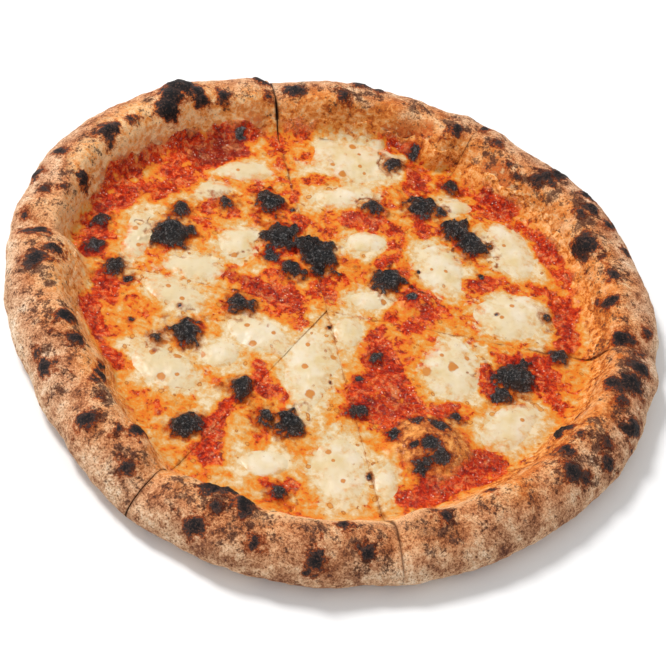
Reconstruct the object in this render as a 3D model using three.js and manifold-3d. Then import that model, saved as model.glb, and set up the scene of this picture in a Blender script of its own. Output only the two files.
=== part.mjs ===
// Margherita pizza from a wood-fired oven, cut by three knife strokes into six slices that still
// lie together. Millimetres, +Z up, the origin on the table under the middle of the pizza.
//
// Each slice is a wedge of dough with its length of puffed rim, a layer of cooked tomato on top
// with its burst blisters, and the pools of melted mozzarella that lie on the tomato.
import * as THREE from 'three';
import { mergeVertices } from 'three/addons/utils/BufferGeometryUtils.js';
import Module from 'manifold-3d';

const wasm = await Module();
wasm.setup();

// ---------------------------------------------------------------- driving dimensions

const CRUST_RADIUS = 158; // mean outer radius, measured from where the cuts cross
const CREST_INSET = 20; // outer edge of the rim to its highest line
const GIRTH_HEIGHT = 9; // height at which the rim is widest
const HEEL_INSET = 14; // rounding under the outer edge
const BASE_THICKNESS = 3.4; // dough under the tomato
const SAUCE_THICKNESS = 1.7;
const SAUCE_EDGE = 0.5; // thickness of the tomato where it ends on the inner side of the rim
const POOL_THICKNESS = 2.2; // melted mozzarella at the middle of a pool
const LAYER_GAP = 0.3; // clearance between touching pieces
const SLOPE_GAP = 0.5; // added to it where a layer runs up the rim
const CUT_GAP = 0.5; // clearance between slices near the middle
const CUT_OPENS_FROM = 105; // distance from the middle at which an open cut starts to gape
const CUT_ROUNDING = 7; // length of rim that sinks towards a cut
const CUT_SINK = 0.14; // share of the rim's height lost at a cut
const REACH = 185; // past everything, for the wedges that cut the slices
const WEDGE_HEIGHT = 60;

// The outline is a circle with slow lobes: number of lobes, swing in mm, direction of a peak.
const OUTLINE_LOBES = [
  [1, 3.4, 43],
  [2, 1.6, -20],
  [3, 3.8, 30],
  [4, 1.1, -18],
];
// Short hollows and swellings of the outline: direction, depth in mm.
const OUTLINE_DENTS = [
  [3, -1.7],
  [24, -1.4],
  [54, -1.8],
  [67, 0.9],
  [118, -2.3],
  [171, -1.8],
  [181, -1.3],
  [189, -1.6],
  [214, -1.9],
  [227, -1.8],
  [246, 1.3],
  [286, -1.6],
  [353, -2.0],
];
const DENT_SPREAD = 4.5; // degrees

// The slices, counter-clockwise: direction of the first cut and how far that cut gapes at the
// rim, then the rim's height and its width from outer edge to inner foot, each just after that
// cut, in the slice's middle and at its next cut.
const SLICES = [
  { name: 'right_back', from: 3, gape: 0.6, crest: [21, 24, 23], width: [38, 39, 36] },
  { name: 'back', from: 67.5, gape: 0.6, crest: [21, 23, 20.5], width: [35, 35, 38] },
  { name: 'left_back', from: 112, gape: 2.8, crest: [24, 24, 20], width: [40, 41, 31] },
  { name: 'left_front', from: 181, gape: 0.5, crest: [24, 24.5, 21.5], width: [42, 39, 38] },
  { name: 'front', from: 246, gape: 0.9, crest: [22, 23, 20.5], width: [38, 39, 38] },
  { name: 'right_front', from: 291.5, gape: 0.8, crest: [25, 24, 23.5], width: [39, 40, 34] },
];

// Swellings of the rim: direction, place round its section (0 outermost, 90 crest, 180 inner
// foot), radius and height in mm.
const RIM_SWELLINGS = [
  [73, 156, 10, 6],
  [72, 130, 9, 3.5],
  [61, 168, 13, 5],
  [14, 120, 14, 2.5],
  [31, 115, 11, 2.5],
  [50, 80, 12, 2],
  [97, 80, 13, 2],
  [133, 85, 12, 3],
  [150, 105, 13, 2],
  [168, 100, 14, 2],
  [184, 135, 10, 3.5],
  [192, 75, 13, 2.5],
  [208, 110, 12, 2.5],
  [217, 150, 11, 3],
  [230, 75, 13, 2.5],
  [239, 120, 10, 2.5],
  [260, 110, 12, 3],
  [276, 70, 13, 2],
  [296, 115, 11, 3],
  [312, 90, 13, 2.5],
  [337, 130, 11, 2.5],
  [350, 95, 12, 2.5],
];

// Smaller swellings of their own sizes all round the rim, one to each equal stretch of it: the
// least and the most of their place, radius and height.
const SMALL_SWELLINGS = { count: 34, places: [10, 140], radii: [8, 13], heights: [0.6, 2.4] };

// Burst blisters on the rim: direction, place round its section, radius and height in mm.
const RIM_BLISTERS = [
  [5, 95, 5.5, 1.6],
  [30, 118, 7, 2],
  [49.5, 92, 5.5, 2],
  [71, 92, 4, 1.4],
  [94, 52, 6, 1.5],
  [108, 80, 5.5, 1.8],
  [113.8, 62, 5, 1.6],
  [129, 98, 5, 2],
  [137, 100, 7, 2.6],
  [132, 68, 8, 2.4],
  [152, 91, 5, 1.5],
  [164, 122, 4.5, 1.5],
  [182.5, 76, 5, 1.5],
  [188, 98, 4.5, 1.5],
  [207, 97, 5, 1.6],
  [222, 120, 4.5, 1.5],
  [231, 63, 5, 1.5],
  [238, 115, 5.5, 1.8],
  [257.5, 112, 6, 2],
  [262, 110, 7, 2.2],
  [277, 47, 5.5, 1.6],
  [300.5, 88, 4, 1.5],
  [327.5, 68, 5.5, 1.6],
  [337, 138, 6.5, 2],
  [344.5, 44, 6, 1.8],
  [353.5, 67, 5.5, 1.6],
];

// Blisters burst up through the tomato: place, radius and height in mm.
const TOMATO_BLISTERS = [
  [-31, 41, 9.5, 5],
  [-9.5, 33, 10, 5.5],
  [-21, 20.5, 6, 3.5],
  [-40, 62, 7.5, 4],
  [-61, 56, 4, 2],
  [-82, 27, 10, 4.5],
  [-81, 44, 5, 3],
  [-118, 24, 4.5, 3],
  [-116, 7, 4.5, 2.5],
  [-103, -4.5, 6, 3],
  [-41, -9, 6, 4],
  [-61, -33, 8, 4.5],
  [-74, -41, 3.5, 2],
  [-30.5, -59, 6, 4],
  [-16, -73, 5, 4],
  [-5, -74, 7.5, 4.5],
  [-50, -87, 7, 4],
  [17, 111, 5, 3],
  [35, 83, 8, 4],
  [11, 76, 5.5, 3.5],
  [49, 104, 4.5, 3],
  [54, 73, 7.5, 4.5],
  [64, 65, 8, 4],
  [26, 28, 8, 4.5],
  [93, -16, 9.5, 5],
  [89, -27, 5, 3],
  [28, -23, 4, 2.5],
  [25, -57, 4.5, 2.5],
  [106, 28, 3, 2],
  [113, 4, 4.5, 3],
  [-2, -112, 4, 2.5],
];
// Domes of dough that lift the tomato without bursting: place, radius and height in mm.
const TOMATO_DOMES = [
  [60, -68, 20, 7],
  [41, 19, 10, 3.5],
];

// Pools of melted mozzarella: place of the middle, half length, half width in mm, direction.
const POOLS = [
  [-3, 107, 24, 16, 5],
  [-4, 80, 17, 8, 30],
  [11, 51, 10, 8, 20],
  [50, 45, 17, 12, 110],
  [53, 91, 9, 5, 5],
  [83, 68, 18, 12, 118],
  [88, 23, 20, 14, 25],
  [20, 14, 10, 6, 15],
  [64, -19, 19, 14, 100],
  [95, -44, 17, 11, 65],
  [12, -10, 10, 8, 100],
  [43, -93, 9, 5, 100],
  [-2, -38, 24, 13, 95],
  [21, -91, 21, 13, 100],
  [-11, -98, 12, 8, 20],
  [-71, -11, 16, 9, 160],
  [-66, -57, 17, 11, 160],
  [-28, -25, 18, 10, 165],
  [-43, -41, 10, 8, 40],
  [-56, 81, 15, 6.5, 12],
  [-69, 63, 10, 5.5, 30],
  [-98, 20, 17, 7, 92],
  [-66, 9, 16, 8, 8],
  [-50, 32, 13, 9, 80],
];

// ---------------------------------------------------------------- form of the crust

const { clamp, degToRad: radians, euclideanModulo, lerp, smoothstep } = THREE.MathUtils;
const turnsBetween = (angle, other) => Math.atan2(Math.sin(angle - other), Math.cos(angle - other));
const bell = (distance, spread) => Math.exp(-((distance / spread) ** 2));

// The same numbers from 0 to 1 in the same order on every run.
function drawsFrom(seed) {
  let state = seed;
  return () => {
    state = (state * 16807) % 2147483647;
    return state / 2147483647;
  };
}

function crustRadius(angle) {
  const round = OUTLINE_LOBES.reduce(
    (sum, [count, swing, peak]) => sum + swing * Math.cos(count * (angle - radians(peak))),
    CRUST_RADIUS,
  );
  return OUTLINE_DENTS.reduce(
    (sum, [direction, depth]) =>
      sum + depth * bell(turnsBetween(angle, radians(direction)), radians(DENT_SPREAD)),
    round,
  );
}

const nextCut = (slice) => SLICES[(SLICES.indexOf(slice) + 1) % SLICES.length];
const spanOf = (slice) => euclideanModulo(nextCut(slice).from - slice.from, 360);

// Where an angle lies in a slice: 0 at its first cut, 1 at its next cut.
function shareOfSlice(slice, angle) {
  const middle = radians(slice.from + spanOf(slice) / 2);
  return 0.5 + turnsBetween(angle, middle) / radians(spanOf(slice));
}

const sliceHolding = (angle) =>
  SLICES.find((slice) => shareOfSlice(slice, angle) >= 0 && shareOfSlice(slice, angle) < 1);

// 1 at a cut, fading to 0 a rounding's length along the rim.
function nearnessToCut(slice, angle) {
  const [first, next] = [slice, nextCut(slice)].map((cut) =>
    Math.abs(turnsBetween(angle, radians(cut.from))),
  );
  return bell(Math.min(first, next) * (crustRadius(angle) - CREST_INSET), CUT_ROUNDING);
}

// A size that runs smoothly through its three values along the slice.
function alongSlice(slice, [start, middle, end], angle) {
  const share = clamp(shareOfSlice(slice, angle), 0, 1);
  return share < 0.5
    ? lerp(start, middle, smoothstep(share, 0, 0.5))
    : lerp(middle, end, smoothstep(share, 0.5, 1));
}

const rimWidth = (slice, angle) => alongSlice(slice, slice.width, angle);

// The crest sinks just before each cut, where the knife pressed it down.
function crestHeight(slice, angle) {
  const sink = CUT_SINK * nearnessToCut(slice, angle);
  return alongSlice(slice, slice.crest, angle) * (1 - sink);
}

// A point of the rim's section, as its distance in from the outer edge and its height. Place 0 is
// the outermost point, 90 the crest, 180 the inner foot and -90 the table under the edge.
function rimSection(place, crest, width) {
  const turn = radians(place);
  if (place < 0) {
    return [HEEL_INSET * (1 - Math.cos(turn)), GIRTH_HEIGHT * (1 + Math.sin(turn))];
  }
  if (place <= 90) {
    const rise = (crest - GIRTH_HEIGHT) * Math.sin(turn);
    return [CREST_INSET * (1 - Math.cos(turn)), GIRTH_HEIGHT + rise];
  }
  const down = (place - 90) / 90;
  const ease = (1 + Math.cos(Math.PI * down)) / 2;
  return [lerp(CREST_INSET, width, down), lerp(BASE_THICKNESS, crest, ease)];
}

function pointAt(angle, radius, height) {
  return new THREE.Vector3(radius * Math.cos(angle), radius * Math.sin(angle), height);
}

// A point of the rim in space, before its swellings.
function plainRimPoint(slice, angle, place) {
  const [inset, height] = rimSection(place, crestHeight(slice, angle), rimWidth(slice, angle));
  return pointAt(angle, crustRadius(angle) - inset, height);
}

// The direction in which the rim's surface faces, away from the middle of its section.
function awayFromCore(point, angle) {
  const core = pointAt(angle, crustRadius(angle) - CREST_INSET, GIRTH_HEIGHT);
  return point.clone().sub(core).normalize();
}

// Every swelling with its slice and the point of the rim that it lifts most.
function placedSwelling([direction, place, radius, height]) {
  const slice = sliceHolding(radians(direction));
  return { slice, top: plainRimPoint(slice, radians(direction), place), radius, height };
}

function smallSwelling(number, draw) {
  const { count, places, radii, heights } = SMALL_SWELLINGS;
  const direction = (360 * (number + draw())) / count;
  return [direction, lerp(...places, draw()), lerp(...radii, draw()), lerp(...heights, draw())];
}

const swellingDraw = drawsFrom(31);
const SWELLINGS = [
  ...RIM_SWELLINGS,
  ...Array.from({ length: SMALL_SWELLINGS.count }, (_, n) => smallSwelling(n, swellingDraw)),
].map(placedSwelling);

// A point of the rim in space, pushed out by each swelling of its own slice that is near it. The
// heel, where the rim rests on the table, isn't swollen.
function rimPoint(slice, angle, place) {
  const point = plainRimPoint(slice, angle, place);
  let push = 0;
  for (const swelling of SWELLINGS) {
    if (swelling.slice === slice) {
      push += swelling.height * bell(point.distanceTo(swelling.top), swelling.radius);
    }
  }
  const kept = smoothstep(place, -40, 20) * (1 - 0.6 * nearnessToCut(slice, angle));
  return point.addScaledVector(awayFromCore(point, angle), push * kept);
}

// Height of the dough's upper side at a place inside the crest.
function doughHeight(slice, x, y) {
  const angle = Math.atan2(y, x);
  const inset = crustRadius(angle) - Math.hypot(x, y);
  const width = rimWidth(slice, angle);
  const down = clamp((inset - CREST_INSET) / (width - CREST_INSET), 0, 1);
  return rimSection(90 + 90 * down, crestHeight(slice, angle), width)[1];
}

// ---------------------------------------------------------------- meshes and solids

const COLUMN_STEP = 3.3; // degrees of rim between the columns of a slice's mesh
const SLICE_MARGIN = 3; // degrees of the slice's mesh past each of its cuts
const COLUMNS_OUTSIDE = 8; // columns that close the ring where the wedge cuts it away
const CROWDING = 0.45; // how far the columns draw together near the cuts
const RIM_PLACES = [-90, -48, -12, 22, 50, 73, 94, 116, 138, 160, 180];
const BLISTER_SIDES = 8;
const DOME_SIDES = 14;
const POOL_SIDES = 14;
const UNEVENNESS = 0.16; // of a blister's or a pool's outline, as a share of its size
const BURIED = 1; // depth that a blister's rough underside reaches into what carries it
const TOUCHING = 0.005; // cubic millimetres of overlap that count as none

// Closed mesh to solid: only the vertices' places are kept, and those that meet are merged.
function solidOf(geometry) {
  const plain = geometry.index ? geometry.toNonIndexed() : geometry.clone();
  plain.deleteAttribute('normal');
  plain.deleteAttribute('uv');
  const merged = mergeVertices(plain, 1e-4);
  const corners = merged.index.array;
  const kept = [];
  for (let first = 0; first < corners.length; first += 3) {
    const [a, b, c] = corners.slice(first, first + 3);
    if (a !== b && b !== c && c !== a) {
      kept.push(a, b, c);
    }
  }
  const vertProperties = Float32Array.from(merged.attributes.position.array);
  return new wasm.Manifold(
    new wasm.Mesh({ numProp: 3, vertProperties, triVerts: Uint32Array.from(kept) }),
  );
}

function geometryOf(solid) {
  const mesh = solid.getMesh();
  const geometry = new THREE.BufferGeometry();
  geometry.setAttribute('position', new THREE.BufferAttribute(mesh.vertProperties, 3));
  geometry.setIndex(new THREE.BufferAttribute(mesh.triVerts, 1));
  geometry.computeVertexNormals();
  return geometry;
}

// Of a solid that a cut left in pieces, the largest is the real one and the rest are scraps.
function largestPiece(solid) {
  const pieces = solid.decompose();
  return pieces.reduce((best, piece) => (piece.volume() > best.volume() ? piece : best));
}

// A layer is cut back to a layer's gap above each carrier that it would otherwise run into.
function fittedOver(layer, carriers) {
  return carriers.reduce((solid, carrier) => {
    const cleared = carrier.translate(0, 0, LAYER_GAP);
    const meets = solid.intersect(cleared).volume() > TOUCHING;
    return meets ? solid.subtract(cleared).subtract(carrier) : solid;
  }, layer);
}

// A lathe-turned ring whose vertices are then placed one by one, by their row in the profile and
// their column round the axis. The first and the last row close it on the axis.
function ring(rows, columns, place) {
  const profile = Array.from(
    { length: rows },
    (_, row) => new THREE.Vector2(row % (rows - 1) === 0 ? 0 : 1, row),
  );
  const geometry = new THREE.LatheGeometry(profile, columns);
  const position = geometry.attributes.position;
  for (let vertex = 0; vertex < position.count; vertex += 1) {
    const row = vertex % rows;
    const column = row % (rows - 1) === 0 ? 0 : Math.floor(vertex / rows) % columns;
    const point = place(row, column);
    position.setXYZ(vertex, point.x, point.y, point.z);
  }
  return solidOf(geometry);
}

// The columns of a slice's ring: close together near its cuts, and a few in the rest of the ring.
function sliceColumns(slice) {
  const wide = spanOf(slice) + 2 * SLICE_MARGIN;
  const start = slice.from - SLICE_MARGIN;
  const inside = Math.round(wide / COLUMN_STEP);
  const angles = Array.from({ length: inside + 1 }, (_, column) => {
    const even = column / inside;
    const crowded = (1 - Math.cos(Math.PI * even)) / 2;
    return radians(start + wide * lerp(even, crowded, CROWDING));
  });
  for (let column = 1; column < COLUMNS_OUTSIDE; column += 1) {
    angles.push(radians(start + wide + ((360 - wide) * column) / COLUMNS_OUTSIDE));
  }
  return angles;
}

// The wedge of space that a slice may fill, with its half of each cut's gap taken off.
function wedgeOf(slice) {
  const middle = radians(slice.from + spanOf(slice) / 2);
  const halfSpan = radians(spanOf(slice) / 2);
  const edge = (cut, sign) => {
    const angle = radians(cut.from);
    const along = new THREE.Vector2(Math.cos(angle), Math.sin(angle));
    const across = new THREE.Vector2(-along.y, along.x).multiplyScalar(sign / 2);
    const widening = (cut.gape * (REACH - CUT_OPENS_FROM)) / (CRUST_RADIUS - CUT_OPENS_FROM);
    return [
      along.clone().multiplyScalar(CUT_OPENS_FROM).addScaledVector(across, CUT_GAP),
      along.clone().multiplyScalar(REACH).addScaledVector(across, CUT_GAP + widening),
    ];
  };
  const onMiddle = (distance) =>
    new THREE.Vector2(Math.cos(middle), Math.sin(middle)).multiplyScalar(distance);
  const outline = new THREE.Shape([
    onMiddle(CUT_GAP / 2 / Math.sin(halfSpan)),
    ...edge(slice, 1),
    onMiddle(REACH / Math.cos(halfSpan)),
    ...edge(nextCut(slice), -1).reverse(),
  ]);
  const geometry = new THREE.ExtrudeGeometry(outline, { depth: WEDGE_HEIGHT, bevelEnabled: false });
  return solidOf(geometry.translate(0, 0, -WEDGE_HEIGHT / 3));
}

// ---------------------------------------------------------------- the pieces

// A low dome that stands on a rough underside, its outline uneven by the draws. It is laid out
// round +Z and then set down by the function.
function dome(radius, height, sides, draw, setDown) {
  const rings = [
    [0, -BURIED],
    [1.05, -BURIED],
    [0.86, 0.5 * height],
    [0.5, 0.9 * height],
    [0, height],
  ];
  const uneven = Array.from({ length: sides }, () => 1 + UNEVENNESS * (2 * draw() - 1));
  return ring(rings.length, sides, (row, column) => {
    const [share, level] = rings[row];
    const angle = (2 * Math.PI * column) / sides;
    return setDown(pointAt(angle, radius * share * uneven[column], level));
  });
}

function doughSlice(slice, wedge, draw) {
  const angles = sliceColumns(slice);
  const rows = RIM_PLACES.length + 2;
  let solid = ring(rows, angles.length, (row, column) => {
    if (row === 0 || row === rows - 1) {
      return new THREE.Vector3(0, 0, row === 0 ? 0 : BASE_THICKNESS);
    }
    return rimPoint(slice, angles[column], RIM_PLACES[row - 1]);
  });
  const zAxis = new THREE.Vector3(0, 0, 1);
  for (const [direction, place, radius, height] of RIM_BLISTERS) {
    const angle = radians(direction);
    if (sliceHolding(angle) === slice) {
      const foot = rimPoint(slice, angle, place);
      const turn = new THREE.Quaternion().setFromUnitVectors(zAxis, awayFromCore(foot, angle));
      const setDown = (point) => point.applyQuaternion(turn).add(foot);
      solid = solid.add(dome(radius, height, BLISTER_SIDES, draw, setDown));
    }
  }
  return largestPiece(solid.intersect(wedge));
}

// The tomato lies on the dough's floor and thins out on the inner side of the rim.
function sauceSlice(slice, wedge, dough, draw) {
  const angles = sliceColumns(slice);
  const foot = RIM_PLACES.at(-1);
  const [edge, climb] = RIM_PLACES.slice(-3);
  const layer = [
    [foot, 0],
    [foot, 0],
    [climb, SLOPE_GAP],
    [edge, SLOPE_GAP],
    [edge, SLOPE_GAP + SAUCE_EDGE],
    [climb, SLOPE_GAP + (SAUCE_EDGE + SAUCE_THICKNESS) / 2],
    [foot, SAUCE_THICKNESS],
    [foot, SAUCE_THICKNESS],
  ];
  const last = layer.length - 1;
  let solid = ring(layer.length, angles.length, (row, column) => {
    const [place, level] = layer[row];
    const point = rimPoint(slice, angles[column], place);
    if (row % last === 0) {
      point.set(0, 0, BASE_THICKNESS);
    }
    return point.setZ(point.z + LAYER_GAP + level);
  });
  const lumps = [
    ...TOMATO_BLISTERS.map((lump) => [lump, BLISTER_SIDES]),
    ...TOMATO_DOMES.map((lump) => [lump, DOME_SIDES]),
  ];
  for (const [[x, y, radius, height], sides] of lumps) {
    if (sliceHolding(Math.atan2(y, x)) === slice) {
      const level = doughHeight(slice, x, y) + LAYER_GAP + SAUCE_THICKNESS;
      const setDown = (point) => point.add(new THREE.Vector3(x, y, level));
      solid = solid.add(dome(radius, height, sides, draw, setDown));
    }
  }
  return largestPiece(fittedOver(solid, [dough]).intersect(wedge));
}

// A pool of melted mozzarella: a flat lens with an uneven oval outline, fitted to what is under it.
function mozzarellaPool(slice, [x, y, halfLength, halfWidth, direction], carriers, wedge, draw) {
  const lens = [
    [0, 0],
    [0.97, 0],
    [1, 0.3 * POOL_THICKNESS],
    [0.8, 0.8 * POOL_THICKNESS],
    [0, POOL_THICKNESS],
  ];
  const uneven = Array.from({ length: POOL_SIDES }, () => 1 + UNEVENNESS * (2 * draw() - 1));
  const turn = radians(direction);
  const solid = ring(lens.length, POOL_SIDES, (row, column) => {
    const [share, level] = lens[row];
    const angle = (2 * Math.PI * column) / POOL_SIDES;
    const along = halfLength * share * uneven[column] * Math.cos(angle);
    const across = halfWidth * share * uneven[column] * Math.sin(angle);
    const px = x + along * Math.cos(turn) - across * Math.sin(turn);
    const py = y + along * Math.sin(turn) + across * Math.cos(turn);
    const ground = doughHeight(slice, px, py) + 2 * LAYER_GAP + SAUCE_THICKNESS;
    return new THREE.Vector3(px, py, ground + level);
  });
  return largestPiece(fittedOver(solid, carriers).intersect(wedge));
}

// ---------------------------------------------------------------- the pizza

const bakedDough = new THREE.MeshStandardMaterial({ color: 0xc8976b, roughness: 0.85, metalness: 0 });
const tomato = new THREE.MeshStandardMaterial({ color: 0xc0421f, roughness: 0.35, metalness: 0 });
const mozzarella = new THREE.MeshStandardMaterial({ color: 0xf1dcb4, roughness: 0.4, metalness: 0 });

function named(name, solid, material) {
  const mesh = new THREE.Mesh(geometryOf(solid), material.clone());
  mesh.name = name;
  return mesh;
}

const pizza = new THREE.Group();
const draw = drawsFrom(2718);
for (const slice of SLICES) {
  const wedge = wedgeOf(slice);
  const dough = doughSlice(slice, wedge, draw);
  const sauce = sauceSlice(slice, wedge, dough, draw);
  pizza.add(named(`dough_${slice.name}`, dough, bakedDough));
  pizza.add(named(`tomato_${slice.name}`, sauce, tomato));
  const pools = POOLS.filter(([x, y]) => sliceHolding(Math.atan2(y, x)) === slice);
  pools.forEach((pool, number) => {
    const solid = mozzarellaPool(slice, pool, [sauce, dough], wedge, draw);
    pizza.add(named(`mozzarella_${slice.name}_${number + 1}`, solid, mozzarella));
  });
}

// The cuts cross a little off the middle, so the whole is moved to stand over its origin.
const box = new THREE.Box3().setFromObject(pizza);
pizza.position.set(-(box.min.x + box.max.x) / 2, -(box.min.y + box.max.y) / 2, -box.min.z);

export default pizza;
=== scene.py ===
"""The looks of a margherita pizza from a wood-fired oven, cut into six slices that still lie together.

Every slice has three kinds of piece, each made in the place of its solids in the frame:
its dough with the puffed rim, its layer of cooked tomato and its pools of melted mozzarella.
Shapes are worked out in millimetres round the point where the cuts cross and laid down in metres.
"""

import math

import bmesh
import bpy
import numpy as np
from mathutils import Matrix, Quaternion, Vector
from mathutils.bvhtree import BVHTree


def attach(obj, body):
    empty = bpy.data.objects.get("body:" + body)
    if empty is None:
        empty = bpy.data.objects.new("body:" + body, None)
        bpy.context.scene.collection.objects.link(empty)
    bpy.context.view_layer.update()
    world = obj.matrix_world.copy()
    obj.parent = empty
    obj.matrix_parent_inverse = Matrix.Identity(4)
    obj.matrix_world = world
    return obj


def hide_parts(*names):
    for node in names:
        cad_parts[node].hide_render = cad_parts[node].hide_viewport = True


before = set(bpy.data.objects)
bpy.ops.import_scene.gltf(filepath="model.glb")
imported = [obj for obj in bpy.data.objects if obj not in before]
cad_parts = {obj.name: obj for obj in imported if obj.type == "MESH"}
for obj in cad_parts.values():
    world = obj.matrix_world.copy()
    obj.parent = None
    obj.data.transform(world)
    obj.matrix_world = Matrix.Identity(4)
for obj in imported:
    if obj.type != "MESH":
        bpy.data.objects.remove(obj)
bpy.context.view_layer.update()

MM = 0.001

# ------------------------------------------------------------------ the pizza's driving sizes, mm

CRUST_RADIUS = 158  # mean outer radius, measured from where the cuts cross
CREST_INSET = 20  # outer edge of the rim to its highest line
GIRTH_HEIGHT = 9  # height at which the rim is widest
HEEL_INSET = 14  # rounding under the outer edge
BASE_THICKNESS = 3.4  # dough under the tomato
SAUCE_THICKNESS = 1.7
POOL_THICKNESS = 2.2  # melted mozzarella at the middle of a pool
LAYER_GAP = 0.3
CROSSING = (-1.99, 1.43)  # where the cuts cross, from the middle of the whole
CUT_GAP = 0.012  # knife's width left between slices near the middle
CUT_OPENS_FROM = 105  # distance from the middle at which an open cut starts to gape
CUT_ROUNDING = 7  # length of rim that sinks towards a cut
DENT_SPREAD = 4.5  # degrees of outline that a short hollow takes
FOOT_INSET = 39  # outer edge to the foot of the rim's inner slope
FOOT_SPREAD = 9  # how far the foot's unevenness runs in over the base
SAUCE_CLIMB = 44  # degrees of the rim's section that the tomato climbs
CLIMB_SWAY = 16  # how many more or fewer it climbs in places
CHAR_DEPTH = 4.5  # distance in from a mark's edge at which it is fully black
LARGE_DOME = 15  # a dome wider than this shows its own toasted dough
CRUST_MESH, TOMATO_MESH, CHEESE_MESH = 0.8, 0.65, 0.7  # width of a face round each kind of piece

# number of lobes, swing in mm, direction of a peak in degrees
OUTLINE_LOBES = [(1, 3.4, 43), (2, 1.6, -20), (3, 3.8, 30), (4, 1.1, -18)]
# direction in degrees, depth in mm
OUTLINE_DENTS = [
    (3, -1.7), (24, -1.4), (54, -1.8), (67, 0.9), (118, -2.3), (171, -1.8), (181, -1.3), (189, -1.6),
    (214, -1.9), (227, -1.8), (246, 1.3), (286, -1.6), (353, -2.0),
]

# Counter-clockwise: name, direction of the first cut, how far that cut gapes at the rim, the share of
# the rim's height that is lost at it, then the rim's height and its width just after that cut, in the
# slice's middle and at its next cut, and how far the topping stands up at the first and the next cut.
SLICE_ROWS = [
    ("right_back", 3, 0.6, 0.14, (21, 24, 21.8), (38, 39, 36), (-0.2, 0.2)),
    ("back", 67.5, 0.6, 0.02, (21, 23, 20.5), (35, 35, 38), (0, -0.5)),
    ("left_back", 112, 2.8, 0.14, (24, 24, 20), (40, 41, 31), (0.8, -0.1)),
    ("left_front", 181, 0.5, 0.14, (24, 24.5, 21.5), (42, 39, 38), (0.3, 0.2)),
    ("front", 246, 0.7, 0.21, (22, 23, 22.4), (38, 39, 38), (-0.1, -0.2)),
    ("right_front", 291.5, 0.1, 0.14, (22.8, 24, 23.5), (39, 40, 34), (0.4, 0.2)),
]
SLICES = [dict(zip(("name", "start", "gape", "sink", "crest", "width", "lift"), row)) for row in SLICE_ROWS]
# How dark each of these cuts is drawn, as juice stain and painted shade in the gap between slices:
# distance from the middle, strength (1 is dark brown) and half width.
SEAMS = [
    [(0, 0.8, 1.2), (40, 0.75, 0.9), (55, 0.8, 0.9), (95, 0.75, 1), (104, 1, 1.2), (135, 0.9, 1),
     (158, 0.7, 1)],
    [(0, 0.6, 1.2), (10, 0.1, 1), (110, 0.15, 1.5), (128, 0.6, 1.2), (158, 0.7, 1)],
    [(0, 0.6, 1.2), (15, 0.3, 1), (55, 0.7, 2), (84, 0.9, 1.2), (90, 1.3, 1.1), (120, 1.6, 1.5),
     (158, 1.6, 1.6)],
    [(0, 0.6, 1.2), (15, 0.35, 1), (50, 0.65, 0.8), (90, 0.65, 1), (108, 0.5, 1.5), (158, 0.35, 1)],
    [(0, 0.7, 1.2), (10, 0.6, 0.8), (55, 0.6, 0.9), (70, 0.85, 0.9), (112, 1, 1.1), (124, 1.2, 1.2),
     (134, 1.5, 1.3), (158, 1.4, 1.2)],
    [(0, 0.7, 1.2), (10, 0.55, 0.9), (55, 0.5, 1), (108, 0.75, 1.2), (122, 0.8, 2.4), (133, 0.85, 1),
     (158, 0.75, 0.7)],
]
for number, cut in enumerate(SLICES):
    following = SLICES[(number + 1) % len(SLICES)]
    cut["seams"] = SEAMS[number], SEAMS[(number + 1) % len(SEAMS)]
    cut["span"] = math.radians((following["start"] - cut["start"]) % 360)
    cut["first"] = math.radians(cut["start"])
    cut["middle"] = cut["first"] + cut["span"] / 2
    cut["gape_after"] = following["gape"]
    cut["sink_after"] = following["sink"]

# Swellings of the rim: direction, place round its section (0 outermost, 90 crest, 180 inner
# foot), radius and height.
RIM_SWELLINGS = [
    (73, 156, 10, 6), (72, 130, 9, 3.5), (61, 168, 13, 5), (14, 120, 14, 2.5), (31, 115, 11, 2.5),
    (50, 80, 12, 0.4), (62.5, 34, 10, -2.6), (70, 36, 9, 2.4), (97, 80, 13, 2), (133, 85, 12, 3),
    (150, 105, 13, 2), (168, 100, 14, 2), (184, 135, 10, 3.5), (192, 75, 13, 2.5), (208, 110, 12, 2.5),
    (217, 150, 11, 3), (230, 75, 13, 2.5), (239, 120, 10, 2.5), (260, 110, 12, 3), (276, 70, 13, 2),
    (296, 115, 11, 3), (312, 90, 13, 2.5), (337, 130, 11, 2.5), (350, 95, 12, 2.5),
]
SMALL_SWELLINGS = dict(count=34, places=(10, 140), radii=(8, 13), heights=(0.6, 2.4))

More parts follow.
